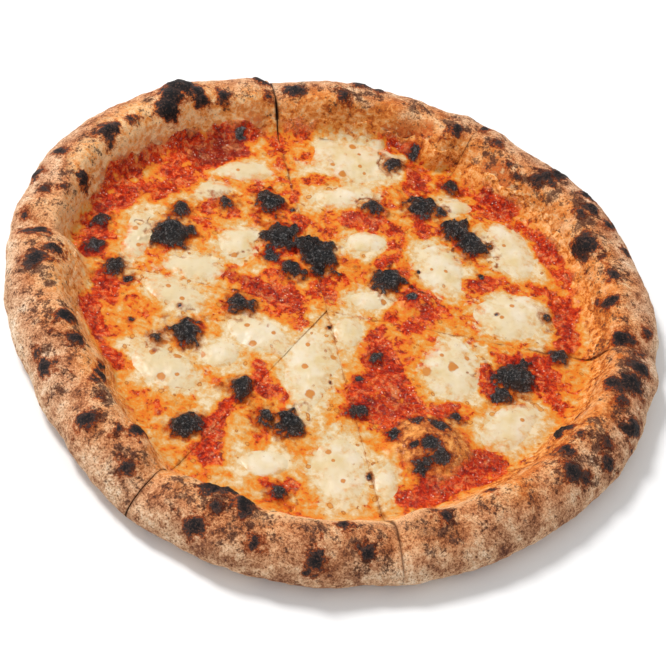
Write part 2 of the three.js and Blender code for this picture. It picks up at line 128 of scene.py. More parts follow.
# Charred places of the rim: direction, place round its section, radius, puff.
RIM_CHAR = [
    (5, 95, 5.5, 1.4), (5, 78, 3.5, 0.4), (2, 62, 2.5, 0.3), (7.5, 52, 3, 0.4), (14, 113, 4.5, 0.7),
    (20.5, 92, 4, 0.7), (30, 120, 7.5, 1.8), (28.5, 108, 4, 0.8), (27, 48, 3.5, 0.6), (33.5, 55, 4.5, 0.8),
    (34, 40, 4, 0.6), (37.5, 92, 3.5, 0.6), (38.5, 64, 5, 0.8), (42, 46, 5, 0.8), (49.5, 102, 4, 0.9),
    (49, 84, 4.5, 0.5), (48.5, 62, 5, 0.3), (48.5, 45, 5, 0.3), (54, 117, 2.5, 0.4), (57, 107, 2.5, 0.3),
    (62, 80, 3, 0.4), (71, 92, 4, 1), (67, 60, 4.5, 0.8), (79, 145, 4.5, 0.6), (97, 92, 3.5, 0.7),
    (94, 52, 6, 1.2), (90, 60, 4, 0.6), (108, 80, 5.5, 1.6), (113.6, 95, 3, 0.4), (113.8, 60, 5, 1.2),
    (124, 98, 4.5, 0.8), (129, 106, 4.5, 1.6), (129.5, 93, 5, 1.4), (137, 107, 6.5, 2.2),
    (135.5, 89, 6, 1.8), (131.5, 78, 6, 1.8), (133, 70, 6, 1.2), (146, 98, 3.5, 0.6), (152, 91, 5, 1.2),
    (153, 110, 2.5, 0.3), (161, 55, 4, 0.7), (164, 122, 4.5, 1), (167, 38, 4.5, 0.8), (170, 88, 2.5, 0.3),
    (171, 62, 3, 0.3), (178, 50, 3, 0.4), (182.3, 77, 5, 1.2), (182.6, 58, 3.2, 0.4), (188, 97, 4.5, 1.2),
    (191, 74, 5.5, 0.8), (207, 96, 5, 1.2), (213, 98, 4, 0.6), (212, 38, 3, 0.3), (216, 42, 5, 0.7),
    (219, 129, 3.5, 0.7), (222, 119, 4.5, 1), (223, 101, 3, 0.4), (228, 85, 2.5, 0.3), (231, 63, 5, 1.2),
    (236, 84, 2.5, 0.3), (238, 114, 5.5, 1.4), (242, 62, 4, 0.5), (257, 45, 5, 0.8), (259, 80, 3.5, 0.6),
    (256.5, 112, 5.5, 1.4), (260, 116, 6.5, 1.8), (263.5, 106, 6, 1.6), (267, 52, 3.5, 0.5),
    (277, 47, 5.5, 1.2), (281.5, 93, 3.5, 0.6), (285.5, 54, 4, 0.6), (300.5, 88, 4, 0.9),
    (299, 105, 2.2, 0.3), (312, 112, 2.5, 0.4), (327.5, 70, 5.5, 1.4), (331, 98, 4, 0.7), (329, 50, 3, 0.4),
    (337, 138, 7, 1.6), (336, 101, 3, 0.5), (344, 138, 3, 0.5), (338, 65, 3.5, 0.6), (335, 40, 4.5, 0.7),
    (344.7, 44, 6, 1.4), (350.5, 97, 5, 0.8), (348, 75, 3, 0.4), (353.5, 68, 5.5, 1.2),
    (357.5, 64, 5.5, 1.1), (356, 148, 3, 0.4),
]

# Softly scorched places of the rim: direction, place round its section, radius, strength.
RIM_SCORCH = [
    (13, 112, 9, 0.8), (21, 93, 8, 0.8), (30, 117, 12, 0.9), (35, 96, 10, 1), (40, 76, 8, 1),
    (45, 108, 8, 0.8), (49, 88, 10, 1), (55, 108, 6, 0.7), (62, 100, 11, 0.8), (62, 78, 6, 0.7),
    (72, 74, 9, 0.9), (81, 76, 8, 0.8), (92, 78, 9, 0.9), (97, 94, 8, 0.9), (102, 84, 7, 0.7),
    (107, 78, 9, 1), (118, 82, 5, 0.7), (124, 104, 9, 0.8), (123, 88, 6, 0.6), (146, 97, 7, 0.9),
    (152, 95, 8, 0.8), (158, 84, 7, 0.6), (168, 85, 9, 0.6), (170, 65, 7, 0.7), (174, 78, 7, 0.5),
    (187, 84, 9, 0.7), (193, 72, 12, 1), (202, 64, 12, 0.7), (207, 98, 9, 0.9), (213, 92, 8, 0.8),
    (212, 60, 10, 0.5), (222, 62, 12, 0.5), (227, 96, 6, 0.7), (231, 68, 9, 0.7), (236, 86, 6, 0.7),
    (240, 60, 9, 0.8), (244, 48, 6, 0.7), (248, 26, 5, 0.6), (251, 84, 8, 0.7), (257, 82, 10, 0.8),
    (264, 62, 11, 0.6), (268, 84, 8, 0.5), (276, 74, 9, 0.6), (284, 58, 10, 0.8), (283, 88, 7, 0.7),
    (288, 36, 5, 0.7), (297, 62, 10, 0.5), (301, 86, 7, 0.7), (308, 72, 9, 0.4), (327, 76, 9, 0.9),
    (331, 56, 10, 0.8), (330, 96, 7, 0.8), (336, 62, 10, 1), (338, 88, 8, 0.7), (345, 60, 9, 0.8),
    (351, 78, 8, 0.8), (355, 68, 9, 0.9), (359, 72, 9, 0.9), (2, 84, 8, 0.8), (4, 140, 5, 0.7),
    (99, 94, 8, 0.8), (112, 92, 7, 0.7), (119, 94, 6, 0.7), (141, 94, 8, 0.9), (158, 94, 9, 0.8),
    (165, 92, 7, 0.8),
]

# Blisters burst up through the topping: place, radius, height.
TOMATO_BLISTERS = [
    (-31, 41, 9.5, 5), (-9.5, 33, 10, 5.5), (-21, 20.5, 6, 3.5), (-40, 62, 7.5, 4), (-61, 56, 4, 2),
    (-82, 27, 10, 4.5), (-81, 44, 5, 3), (-118, 24, 4.5, 3), (-116, 7, 4.5, 2.5), (-103, -4.5, 6, 3),
    (-41, -9, 6, 4), (-61, -33, 8, 4.5), (-74, -41, 3.5, 2), (-30.5, -59, 6, 4), (-16, -73, 5, 4),
    (-5, -74, 7.5, 4.5), (-50, -87, 7, 4), (17, 111, 5, 3), (35, 83, 8, 4), (11, 76, 5.5, 3.5),
    (49, 104, 4.5, 3), (54, 73, 7.5, 4.5), (64, 65, 8, 4), (26, 28, 8, 4.5), (93, -16, 9.5, 5),
    (89, -27, 5, 3), (28, -23, 4, 2.5), (25, -57, 4.5, 2.5), (106, 28, 3, 2), (113, 4, 4.5, 3),
    (-2, -112, 4, 2.5),
]
# Domes of dough that lift the topping: place, radius, height.
TOMATO_DOMES = [(60, -68, 20, 7), (41, 19, 10, 3.5)]

# Pools of melted mozzarella: place of the middle, half length, half width, direction.
POOLS = [
    (-3, 107, 24, 16, 5), (-4, 80, 17, 8, 30), (11, 51, 10, 8, 20), (50, 45, 17, 12, 110), (53, 91, 9, 5, 5),
    (83, 68, 18, 12, 118), (88, 23, 20, 14, 25), (20, 14, 10, 6, 15), (64, -19, 19, 14, 100),
    (95, -44, 17, 11, 65), (12, -10, 10, 8, 100), (43, -93, 9, 5, 100), (-2, -38, 24, 13, 95),
    (21, -91, 21, 13, 100), (-11, -98, 12, 8, 20), (-71, -11, 16, 9, 160), (-66, -57, 17, 11, 160),
    (-28, -25, 18, 10, 165), (-43, -41, 10, 8, 40), (-56, 81, 15, 6.5, 12), (-69, 63, 10, 5.5, 30),
    (-98, 20, 17, 7, 92), (-66, 9, 16, 8, 8), (-50, 32, 13, 9, 80),
]

# ------------------------------------------------------------------ colour zones of the topping

# Where the tomato lies bare: two ends, radius, how red (1 is the deepest).
RED_ZONES = [
    (-67, 96, -82, 85, 8.5, 1.25), (-60, 106, -64, 100, 5, 0.75), (-88, 84, -84, 80, 5, 0.75),
    (-98, 76, -86, 64, 9, 0.6), (-92, 92, -106, 72, 4, 0.6), (-112, 62, -118, 46, 5, 0.65),
    (-122, 28, -125, 12, 4, 0.6), (-82, 72, -78, 70, 5, 0.5), (-92, 56, -112, 46, 7, 0.95),
    (-112, 42, -119, 34, 6, 0.95), (-120, 20, -117, 4, 5.5, 0.85), (-98, 96, -92, 92, 4, 0.35),
    (-48, 9, -34, 4, 7, 1.05), (-36, 5, -16, 1, 7, 1.0), (-8, 10, 2, 20, 6, 0.72), (-3, 5, -2, 8, 3, 0.65),
    (-24, -8, -12, -10, 5.5, 0.66), (-30, -2, -26, -4, 4, 0.8), (3, 64, 24, 64, 6.5, 0.95),
    (27, 66, 25, 50, 4, 0.72), (34, 66, 40, 72, 6, 0.68), (25, 46, 22, 40, 4, 0.6),
    (28, 112, 30, 100, 6.5, 1.0), (36, 96, 32, 93, 5, 0.9), (12, 124, 28, 127, 5, 0.95),
    (68, 112, 77, 94, 8, 0.95), (64, 92, 70, 92, 5, 0.75), (88, 88, 96, 78, 5, 0.7),
    (62, 116, 66, 108, 4, 0.6), (103, 74, 112, 56, 5, 0.72), (68, 40, 80, 46, 5.5, 0.8),
    (84, 44, 104, 44, 5, 0.72), (41, 22, 43, 10, 9, 0.88), (36, 6, 44, 4, 6, 0.85),
    (112, 38, 117, 14, 6.5, 0.95), (108, -2, 112, -14, 8, 0.72), (108, -16, 114, -24, 5, 0.8),
    (84, -4, 94, -4, 4, 0.7), (80, -12, 82, -26, 4, 0.68), (27, -6, 28, -14, 4.5, 0.7),
    (30, -24, 28, -20, 8, 0.72), (36, -32, 26, -40, 8, 0.92), (44, -44, 34, -52, 9, 1.0),
    (22, -42, 22, -58, 5, 0.85), (30, -62, 42, -58, 5, 0.8), (56, -44, 72, -44, 4.5, 0.72),
    (88, -66, 80, -78, 8, 1.0), (74, -86, 88, -72, 5, 0.9), (54, -98, 68, -90, 7, 0.95),
    (-22, -52, -12, -60, 6, 0.85), (-26, -42, -20, -50, 4, 0.72), (-34, -70, -40, -88, 5, 0.85),
    (-38, -86, -34, -100, 4.5, 0.8), (-14, -86, -18, -92, 4, 0.6), (-92, -56, -84, -60, 5, 0.8),
    (-108, -6, -106, -20, 5, 0.66), (-110, -28, -102, -44, 4.5, 0.85), (-84, 17, -88, 12, 4.5, 0.7),
    (-24, 87, -12, 88, 4.5, 0.6), (-26, 108, -29, 100, 4, 0.7), (-32, 78, -30, 70, 4, 0.7),
    (6, 120, 12, 120, 3.5, 0.8), (-12, -108, 2, -106, 4, 0.7), (26, -6, 24, -2, 3, 0.7),
    (-26, 58, -22, 48, 4, 0.6), (50, 3, 60, -10, 4, 0.4), (-60, 60, -68, 54, 4, 0.4),
]
# Where oil and juice stain the melted cheese orange.
OIL_ZONES = [
    (-110, 76, -112, 60, 7, 0.9), (-96, 88, -88, 92, 6, 0.8), (-78, 104, -60, 114, 7, 0.9),
    (-104, 84, -118, 62, 7, 0.9), (-60, 70, -52, 72, 8, 1.1), (-45, 76, -38, 82, 6, 0.8),
    (-46, 52, -54, 46, 7, 0.8), (-68, 36, -62, 40, 6, 0.7), (-74, 44, -72, 52, 6, 0.8),
    (-106, 28, -106, 8, 5.5, 0.9), (-96, 12, -90, 6, 7, 0.7), (-84, 8, -78, 2, 5, 0.8),
    (-40, 104, -34, 120, 8, 1.0), (-44, 96, -38, 88, 6, 0.9), (-10, 94, -8, 96, 4, 0.7),
    (16, 88, 20, 84, 6, 0.8), (-2, 74, -8, 62, 7, 0.8), (-20, 56, 4, 54, 7, 0.6), (46, 104, 60, 98, 7, 0.8),
    (60, 84, 72, 84, 6, 0.8), (44, 70, 60, 56, 7, 0.7), (70, 36, 68, 6, 5.5, 0.85), (50, 30, 54, 14, 5, 0.7),
    (44, -6, 52, -14, 9, 0.95), (36, -12, 40, -22, 7, 0.9), (52, -24, 50, -30, 4, 0.6),
    (80, 6, 96, 6, 4, 0.7), (102, -14, 104, -24, 5, 0.9), (96, -30, 90, -34, 5, 0.7),
    (60, -68, 60, -68, 19, 0.8), (60, -86, 66, -82, 6, 0.6), (94, -14, 92, -20, 13, 0.6),
    (-50, -14, -54, -22, 7, 0.8), (-86, -14, -84, -24, 6, 0.8), (-100, -16, -104, -30, 7, 0.85),
    (-92, -30, -94, -40, 5, 0.7), (-50, -52, -44, -56, 6, 0.6), (-68, -74, -60, -78, 6, 0.6),
    (-42, -96, -36, -98, 6, 0.6), (2, -82, 8, -82, 5, 0.6), (-6, -104, 4, -103, 5, 0.5),
    (-22, 32, -26, 22, 8, 0.8), (-34, 34, -38, 26, 5, 0.7), (-34, 54, -24, 50, 8, 0.5),
    (28, 40, 36, 34, 7, 0.7), (10, 22, 6, 34, 6, 0.5), (60, 58, 66, 54, 5, 0.8), (70, 100, 72, 110, 6, 0.5),
    (-86, 66, -72, 84, 8, 0.5), (84, 104, 96, 96, 8, 0.8), (104, 70, 108, 84, 7, 0.8),
]
# Toasted, oily drops on the cheese: place, radius.
CHEESE_SPOTS = [
    (1, -53, 2.6), (-4, -38, 1.8), (64, -18, 2.8), (52, -24, 3), (-50, 22, 1.8), (-54, 14, 1.4),
    (-83, -17, 2.2), (-58, -68, 1.8), (-67, -63, 2.2), (-30, -31, 2), (-35, -21, 1.4), (-8, 95, 2),
    (-6, 117, 2.4), (0, 103, 1.4), (46, 42, 1), (53, 43, 1.1), (84, 21, 1.2), (18, -88, 0.9), (-48, -8, 2.2),
    (-52, -44, 2), (-38, -50, 1.6), (-74, -50, 1.8), (-62, -48, 2.2), (26, 14, 1.6), (-2, 112, 1.2),
    (-14, 100, 1.6), (3, 99, 1.1), (-10, 84, 1.5), (58, -12, 1.2), (70, -10, 1.4), (88, 30, 1.2),
    (80, 70, 1.2), (8, -28, 1.5), (-5, -24, 1.3), (24, -98, 1.3), (15, -84, 1.6), (-76, -8, 1.5),
    (-68, -14, 1.2), (-22, -22, 1.4), (-60, -60, 1.2), (-100, 24, 1.5), (-96, 14, 1.3), (-60, 80, 1.2),
    (100, -40, 1.3),
]
# Charred places on the topping beside its blisters: place, radius, puff.
TOPPING_CHAR = [
    (59, -70, 5, 1), (51, -56, 3.2, 0.6), (42, -65, 3.6, 0.6), (62, -57, 4.4, 0.6), (57, -82, 4, 0.8),
    (69, -47, 3, 0.4), (65, -75, 3.5, 0.5), (52, -72, 2.4, 0.3), (39, 19, 2.2, 0.3), (43, 25, 1, 0.2),
    (71, 46, 1.6, 0.2), (22, -37, 2, 0.3), (35, -92, 1.4, 0.2), (-20, 38, 4.5, 2.5), (-8, 25, 4, 0.4),
    (-33, 27, 4, 0.5), (-96, -9, 3, 0.5), (3, -10, 1.6, 0.2), (58, 69, 5, 2), (46, 84, 3, 0.3),
    (-88, -33, 1.6, 0.2), (-28, 61, 1.6, 0.2), (26, 121, 3, 0.5), (-64, 104, 3, 0.3), (-74, 30, 3, 0.4),
    (86, -30, 3, 0.5), (9, -43, 0.8, 0.1), (40, 39, 1, 0.1), (-68, -18, 1.2, 0.1), (81, 22, 0.8, 0.1),
]

# ------------------------------------------------------------------ form of the crust


def bell(distance, spread):
    return np.exp(-((distance / spread) ** 2))


def eased(value, low, high):
    share = np.clip((value - low) / (high - low), 0, 1)
    return share * share * (3 - 2 * share)


def mixed(low, high, share):
    return low + (high - low) * share


def turns_between(angle, other):
    return np.arctan2(np.sin(angle - other), np.cos(angle - other))


def crust_radius(angle):
    radius = CRUST_RADIUS + 0 * angle
    for count, swing, peak in OUTLINE_LOBES:
        radius = radius + swing * np.cos(count * (angle - math.radians(peak)))
    for direction, depth in OUTLINE_DENTS:
        off = turns_between(angle, math.radians(direction))
        radius = radius + depth * bell(off, math.radians(DENT_SPREAD))
    return radius


def nearness_to_cut(cut, angle):
    """1 at a cut, fading to 0 a rounding's length along the rim."""
    off = turns_between(angle, cut["middle"])
    nearest = np.maximum(cut["span"] / 2 - np.abs(off), 0)
    return bell(nearest * (crust_radius(angle) - CREST_INSET), CUT_ROUNDING)


def along_slice(cut, sizes, angle):
    """A size that runs smoothly through its three values along the slice."""
    start, middle, end = sizes
    share = np.clip(0.5 + turns_between(angle, cut["middle"]) / cut["span"], 0, 1)
    first_half = mixed(start, middle, eased(share, 0, 0.5))
    return np.where(share < 0.5, first_half, mixed(middle, end, eased(share, 0.5, 1)))


def crest_height(cut, angle):
    """Height of the rim, which sinks towards both of its slice's cuts."""
    sink = np.where(turns_between(angle, cut["middle"]) < 0, cut["sink"], cut["sink_after"])
    return along_slice(cut, cut["crest"], angle) * (1 - sink * nearness_to_cut(cut, angle))


def rim_section(place, crest, width):
    """Distance in from the outer edge and height of a point of the rim's section."""
    turn = np.radians(place)
    down = np.clip((place - 90) / 90, 0, 1)
    rise = np.where(place < 0, GIRTH_HEIGHT, crest - GIRTH_HEIGHT)
    inset = np.where(place < 0, HEEL_INSET, CREST_INSET) * (1 - np.cos(turn))
    height = GIRTH_HEIGHT + rise * np.sin(turn)
    slope = mixed(BASE_THICKNESS, crest, (1 + np.cos(np.pi * down)) / 2)
    inner = place > 90
    return np.where(inner, mixed(CREST_INSET, width, down), inset), np.where(inner, slope, height)


def plain_rim(cut, angle, place):
    """The rim's surface before its swellings, as distances from the middle and heights."""
    inset, height = rim_section(place, crest_height(cut, angle), along_slice(cut, cut["width"], angle))
    return crust_radius(angle) - inset, height


def in_space(angle, radius, height):
    return np.stack([radius * np.cos(angle), radius * np.sin(angle), height], axis=-1)


def slice_holding(angle):
    return next(cut for cut in SLICES if (angle - cut["first"]) % (2 * math.pi) < cut["span"])


def rim_spot(direction, place):
    """The slice that holds a place of the rim, and that place in space."""
    angle = math.radians(direction)
    cut = slice_holding(angle)
    radius, height = plain_rim(cut, angle, place)
    return cut, in_space(angle, radius, height)


def draws_from(seed):
    """The same numbers from 0 to 1 in the same order on every run."""
    state, factor, modulus = seed, 16807, 2**31 - 1
    while True:
        state = state * factor % modulus
        yield state / modulus


def small_swellings():
    draw = draws_from(31)
    made = []
    for number in range(SMALL_SWELLINGS["count"]):
        direction = 360 * (number + next(draw)) / SMALL_SWELLINGS["count"]
        sizes = [mixed(*SMALL_SWELLINGS[size], next(draw)) for size in ("places", "radii", "heights")]
        made.append((direction, *sizes))
    return made


SWELLINGS = [(*rim_spot(d, place), r, h) for d, place, r, h in RIM_SWELLINGS + small_swellings()]
CHARRED = [(*rim_spot(d, place), r, h) for d, place, r, h in RIM_CHAR]
SCORCHED = [(*rim_spot(d, place), r, strength) for d, place, r, strength in RIM_SCORCH]

LATTICE_SIDE = 48


def unevenness(points, size, seed):
    """Smooth seeded noise from -1 to 1 whose bumps are about size mm across."""
    table = np.random.default_rng(seed).uniform(-1, 1, LATTICE_SIDE**3)
    scaled = points / (0.7 * size) + seed
    floor = np.floor(scaled)
    share = eased(scaled - floor, 0, 1)
    near = floor.astype(int) % LATTICE_SIDE
    far = (near + 1) % LATTICE_SIDE
    total = 0
    for i, wx in ((near[:, 0], 1 - share[:, 0]), (far[:, 0], share[:, 0])):
        for j, wy in ((near[:, 1], 1 - share[:, 1]), (far[:, 1], share[:, 1])):
            column = (i * LATTICE_SIDE + j) * LATTICE_SIDE
            ends = table[column + near[:, 2]], table[column + far[:, 2]]
            total = total + wx * wy * mixed(*ends, share[:, 2])
    return total


def rough(points, size, seed):
    """Three layers of unevenness, each half as large as the one before."""
    return sum(unevenness(points, size / 2**n, seed + n) / 2**n for n in range(3)) / 1.75


# ------------------------------------------------------------------ fields over the rim

# By direction in degrees: how brown the rim's crown and its outer wall are baked, how pale its inner
# slope is, how far oil and juice have stained the slope upwards, how far the topping's edge has dried.
CROWN_BROWNING = [
    (8, 0.8), (20, 0.65), (50, 0.85), (80, 0.55), (110, 0.7), (135, 0.6), (160, 0.9), (180, 0.6),
    (210, 0.7), (235, 0.75), (270, 0.75), (300, 0.7), (330, 0.8), (355, 0.8),
]
WALL_BROWNING = [
    (20, 0.1), (90, 0.3), (150, 0.25), (180, 0.15), (210, 0.4), (235, 0.65), (270, 0.9), (300, 0.7),
    (330, 0.7), (355, 0.3),
]
# Round 135 to 155 degrees, where the slope faces away from the key lamp, it is also made paler as painted
# light.
SLOPE_PALENESS = [
    (8, 0.15), (30, 0.55), (60, 0.45), (90, 0.3), (115, 0.6), (135, 1.1), (155, 1.15), (180, 0.95),
    (210, 0.6), (240, 0.6), (265, 0.9), (285, 1.25), (305, 0.9), (320, 0.2), (330, 0.1), (350, 0.35),
]
STAIN_CLIMB = [
    (10, 0.05), (60, 0.02), (95, 0.12), (115, 0.2), (150, 0.2), (175, 0.08), (210, 0.04), (300, 0),
]
EDGE_DRYNESS = [(60, 1), (90, 0.75), (110, 0.6), (130, 0.52), (170, 0.55), (185, 1)]


def by_direction(angle, levels):
    """Runs smoothly round the pizza through the levels given at some directions."""
    degrees, values = zip(*levels)
    return np.interp(np.degrees(angle), degrees, values, period=360)


def rim_char(cut, base):
    """How far inside a burnt mark a place of the rim lies, 1 at CHAR_DEPTH, and how far it is puffed up."""
    ragged = 1 + 0.45 * unevenness(base, 7, 61) + 0.35 * unevenness(base, 3, 62)
    depth, puff = np.full(len(base), -1.0), np.zeros(len(base))
    for holder, middle, radius, height in CHARRED:
        if holder is cut:
            share = np.linalg.norm(base - middle, axis=1) / radius
            depth = np.maximum(depth, (1 - share * ragged) * radius / CHAR_DEPTH)
            puff = np.maximum(puff, height * eased(1.25 - share, 0, 1))
    return depth, puff


def rim_scorch(cut, points):
    """How strongly a place of the rim is scorched, fading out past each patch's radius."""
    ragged = 1 + 0.5 * unevenness(points, 8, 65) + 0.3 * unevenness(points, 3.5, 66)
    strongest = np.zeros(len(points))
    for holder, middle, radius, strength in SCORCHED:
        if holder is cut:
            share = np.linalg.norm(points - middle, axis=1) / radius * ragged
            strongest = np.maximum(strongest, strength * eased(1.35 - share, 0, 1))
    return strongest


def rim_points(cut, angle, place):
    """The rim's surface with its swellings, burst blisters and uneven skin, and how charred it is."""
    radius, height = plain_rim(cut, angle, place)
    base = in_space(angle, radius, height)
    push = np.zeros(len(base))
    for holder, top, spread, rise in SWELLINGS:
        if holder is cut:
            push += rise * bell(np.linalg.norm(base - top, axis=1), spread)
    near = nearness_to_cut(cut, angle)
    kept = eased(place, -40, 20) * (1 - 0.6 * near)
    depth, puff = rim_char(cut, base)
    skin = 0.9 * rough(base, 16, 5) + 0.55 * rough(base, 5, 11)
    crust = eased(depth, 0, 0.3) * (0.5 * unevenness(base, 2.2, 17) + 0.3 * unevenness(base, 4, 18))
    fade_to_floor = 1 - eased(place, 165, 180)
    push = push * kept + (puff + crust + skin * eased(place, -70, -10)) * fade_to_floor
    away_r = radius - (crust_radius(angle) - CREST_INSET)
    away_z = height - GIRTH_HEIGHT
    length = np.hypot(away_r, away_z)
    return radius + push * away_r / length, height + push * away_z / length, depth


def wedge_angle(cut, share, radius):
    """The direction of a place in a slice, with the slice's half of each cut's gap taken off."""
    opening = np.maximum(radius - CUT_OPENS_FROM, 0) / (CRUST_RADIUS - CUT_OPENS_FROM) / 2
    ends = [
        np.arcsin(np.clip((CUT_GAP / 2 + gape * opening) / radius, 0, 1))
        for gape in (cut["gape"], cut["gape_after"])
    ]
    return cut["first"] + mixed(ends[0], cut["span"] - ends[1], share)


# ------------------------------------------------------------------ fields over the topping


def zone_strength(points, zones):
    """The strongest of the zones at each place, fading out past its radius."""
    flat = points[:, :2] + 5 * np.stack([rough(points, 9, 71), rough(points, 9, 77)], axis=-1)
    strongest = np.zeros(len(points))
    for ax, ay, bx, by, radius, strength in zones:
        start, run = np.array([ax, ay]), np.array([bx - ax, by - ay])
        share = np.clip((flat - start) @ run / max(run @ run, 1e-6), 0, 1)
        distance = np.linalg.norm(flat - start - share[:, None] * run, axis=1)
        strongest = np.maximum(strongest, strength * eased(1.5 - distance / radius, 0, 1.0))
    return strongest


def raggedness(points):
    """Above 1 where the outline of the cheese is drawn in, below 1 where it has run out."""
    return 1 + 0.22 * unevenness(points, 15, 81) + 0.05 * unevenness(points, 5, 83)


def pool_share(points, pool, ragged):
    """Distance from a pool's middle as a share of its ragged outline."""
    x, y, half_length, half_width, direction = pool
    turn = math.radians(direction)
    off = points[:, :2] - (x, y)
    along = off @ (math.cos(turn), math.sin(turn)) / half_length
    across = off @ (-math.sin(turn), math.cos(turn)) / half_width
    return np.hypot(along, across) * ragged


def cheese_halo(points):
    """1 on the pools of cheese, fading out over the thin melted film round them."""
    halo, ragged = np.zeros(len(points)), raggedness(points)
    for pool in POOLS:
        beyond = (pool_share(points, pool, ragged) - 1) * math.sqrt(pool[2] * pool[3])
        halo = np.maximum(halo, 1 - eased(beyond, -1, 13))
    return halo


def from_spot(points, x, y, radius):
    """Distance from a spot of the topping as a share of its radius."""
    return np.hypot(points[:, 0] - x, points[:, 1] - y) / radius


def blister_relief(points):
    """Height of the burst blisters and of the domes, how charred the topping is, and where it is a dome."""
    ragged = 1 + 0.4 * unevenness(points, 7, 91) + 0.28 * unevenness(points, 3, 92)
    dome_outline = 1 + 0.12 * unevenness(points, 12, 93)
    relief, depth = np.zeros(len(points)), np.full(len(points), -1.0)
    for x, y, radius, height in TOMATO_BLISTERS:
        share = from_spot(points, x, y, radius) * ragged
        relief = np.maximum(relief, height * eased(1.2 - share, 0, 0.8))
        depth = np.maximum(depth, (1.02 - share) * radius / CHAR_DEPTH)
    for x, y, radius, puff in TOPPING_CHAR:
        share = from_spot(points, x, y, radius) * ragged
        relief = relief + puff * eased(1.2 - share, 0, 0.9)
        depth = np.maximum(depth, (1.05 - share) * max(radius, CHAR_DEPTH) / CHAR_DEPTH)
    domed = np.zeros(len(points))
    for x, y, radius, height in TOMATO_DOMES:
        share = from_spot(points, x, y, radius) * dome_outline
        relief = np.maximum(relief, height * eased(1.15 - share, 0, 1))
        domed = np.maximum(domed, eased(1 - share, 0, 0.3) * (radius > LARGE_DOME))
    crag = eased(depth, 0, 0.25) * (0.7 * unevenness(points, 2.4, 94) + 0.5 * unevenness(points, 4.5, 95))
    return relief + crag, depth, domed


def seam_strength(cut, points):
    """How dark the slice is drawn beside its two cuts, as juice stain and painted shade in the gap."""
    radius = np.hypot(points[:, 0], points[:, 1])
    wander = 0.7 * unevenness(points, 8, 87)
    broken = 0.8 + 0.5 * unevenness(points, 11, 89)
    strongest = np.zeros(len(points))
    for direction, levels in zip((cut["first"], cut["first"] + cut["span"]), cut["seams"]):
        along = points[:, :2] @ (math.cos(direction), math.sin(direction))
        away = points[:, :2] @ (-math.sin(direction), math.cos(direction)) + wander
        places, strengths, widths = zip(*levels)
        strength = np.interp(radius, places, strengths) * broken
        strength = strength * bell(away, np.interp(radius, places, widths))
        strongest = np.maximum(strongest, strength * (along > 0))
    return strongest


def topping_relief(cut, points):
    """Height of the uneven topping, without its blisters, over a smooth layer."""
    angle = np.arctan2(points[:, 1], points[:, 0])
    radius = np.hypot(points[:, 0], points[:, 1])
    off = turns_between(angle, cut["middle"])
    to_first = np.abs(np.sin(off + cut["span"] / 2)) * radius
    to_next = np.abs(np.sin(off - cut["span"] / 2)) * radius
    lift = cut["lift"][0] * bell(to_first, 14) + cut["lift"][1] * bell(to_next, 14)
    pressed = 0.3 * seam_strength(cut, points)
    inner = 1 - eased(radius, 112, 124)
    return 0.7 * rough(points, 22, 41) + 0.3 * rough(points, 5, 45) + lift * inner - pressed


# ------------------------------------------------------------------ making the pieces


def ruled_sheet(name, rows, columns):
    """A sheet still to be laid down, with each vertex's row and its share of the row's length."""
    bm = bmesh.new()
    bmesh.ops.create_grid(bm, x_segments=columns, y_segments=rows, size=1)
    mesh = bpy.data.meshes.new(name)
    bm.to_mesh(mesh)
    bm.free()
    co = np.empty(len(mesh.vertices) * 3)
    mesh.vertices.foreach_get("co", co)
    across, along, _ = ((co.reshape(-1, 3) + 1) / 2).T
    return mesh, np.rint(along * rows).astype(int) % rows, np.rint(across * columns) / columns


def laid_down(mesh, points, fields):
    """Puts a mesh's vertices in their places and writes a field of numbers for each name."""
    placed = (points + (*CROSSING, 0)) * MM
    mesh.vertices.foreach_set("co", placed.astype(np.float32).ravel())
    for name, values in fields.items():
        layer = mesh.attributes.new(name, "FLOAT", "POINT")
        layer.data.foreach_set("value", np.asarray(values, dtype=np.float32))
    mesh.update()


def close_openings(bm):
    bmesh.ops.holes_fill(bm, edges=[edge for edge in bm.edges if edge.is_boundary], sides=0)


def finished(mesh, cuts=()):
    """Merges a mesh's seams, cuts it along planes, closes what is open and turns its faces outwards."""
    bm = bmesh.new()
    bm.from_mesh(mesh)
    bmesh.ops.remove_doubles(bm, verts=bm.verts, dist=2e-6)
    for place, direction in cuts:
        whole = bm.verts[:] + bm.edges[:] + bm.faces[:]
        bmesh.ops.bisect_plane(bm, geom=whole, plane_co=place, plane_no=direction, clear_outer=True)
        close_openings(bm)
    close_openings(bm)
    many_sided = [face for face in bm.faces if len(face.verts) > 4]
    for face in bm.faces:
        face.smooth = True
    for face in many_sided:
        face.smooth = False
        for edge in face.edges:
            edge.smooth = False
    bmesh.ops.triangulate(bm, faces=many_sided)
    bmesh.ops.delete(bm, geom=[edge for edge in bm.edges if edge.is_wire], context="EDGES")
    bmesh.ops.recalc_face_normals(bm, faces=bm.faces)
    if bm.calc_volume(signed=True) < 0:
        bmesh.ops.reverse_faces(bm, faces=bm.faces)
    bm.to_mesh(mesh)
    bm.free()


def shown(name, mesh, material, node):
    piece = bpy.data.objects.new(name, mesh)
    bpy.context.scene.collection.objects.link(piece)
    mesh.materials.append(material)
    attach(piece, "root")
    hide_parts(node)


def drawn_in(cut, inward, radius):
    """Draws a place towards a slice's tip, and says how far it then lies from the rim's foot."""
    tip = CUT_GAP / 2 / math.sin(cut["span"] / 2)
    return mixed(tip, radius, inward), (1 - inward) * (radius - tip)


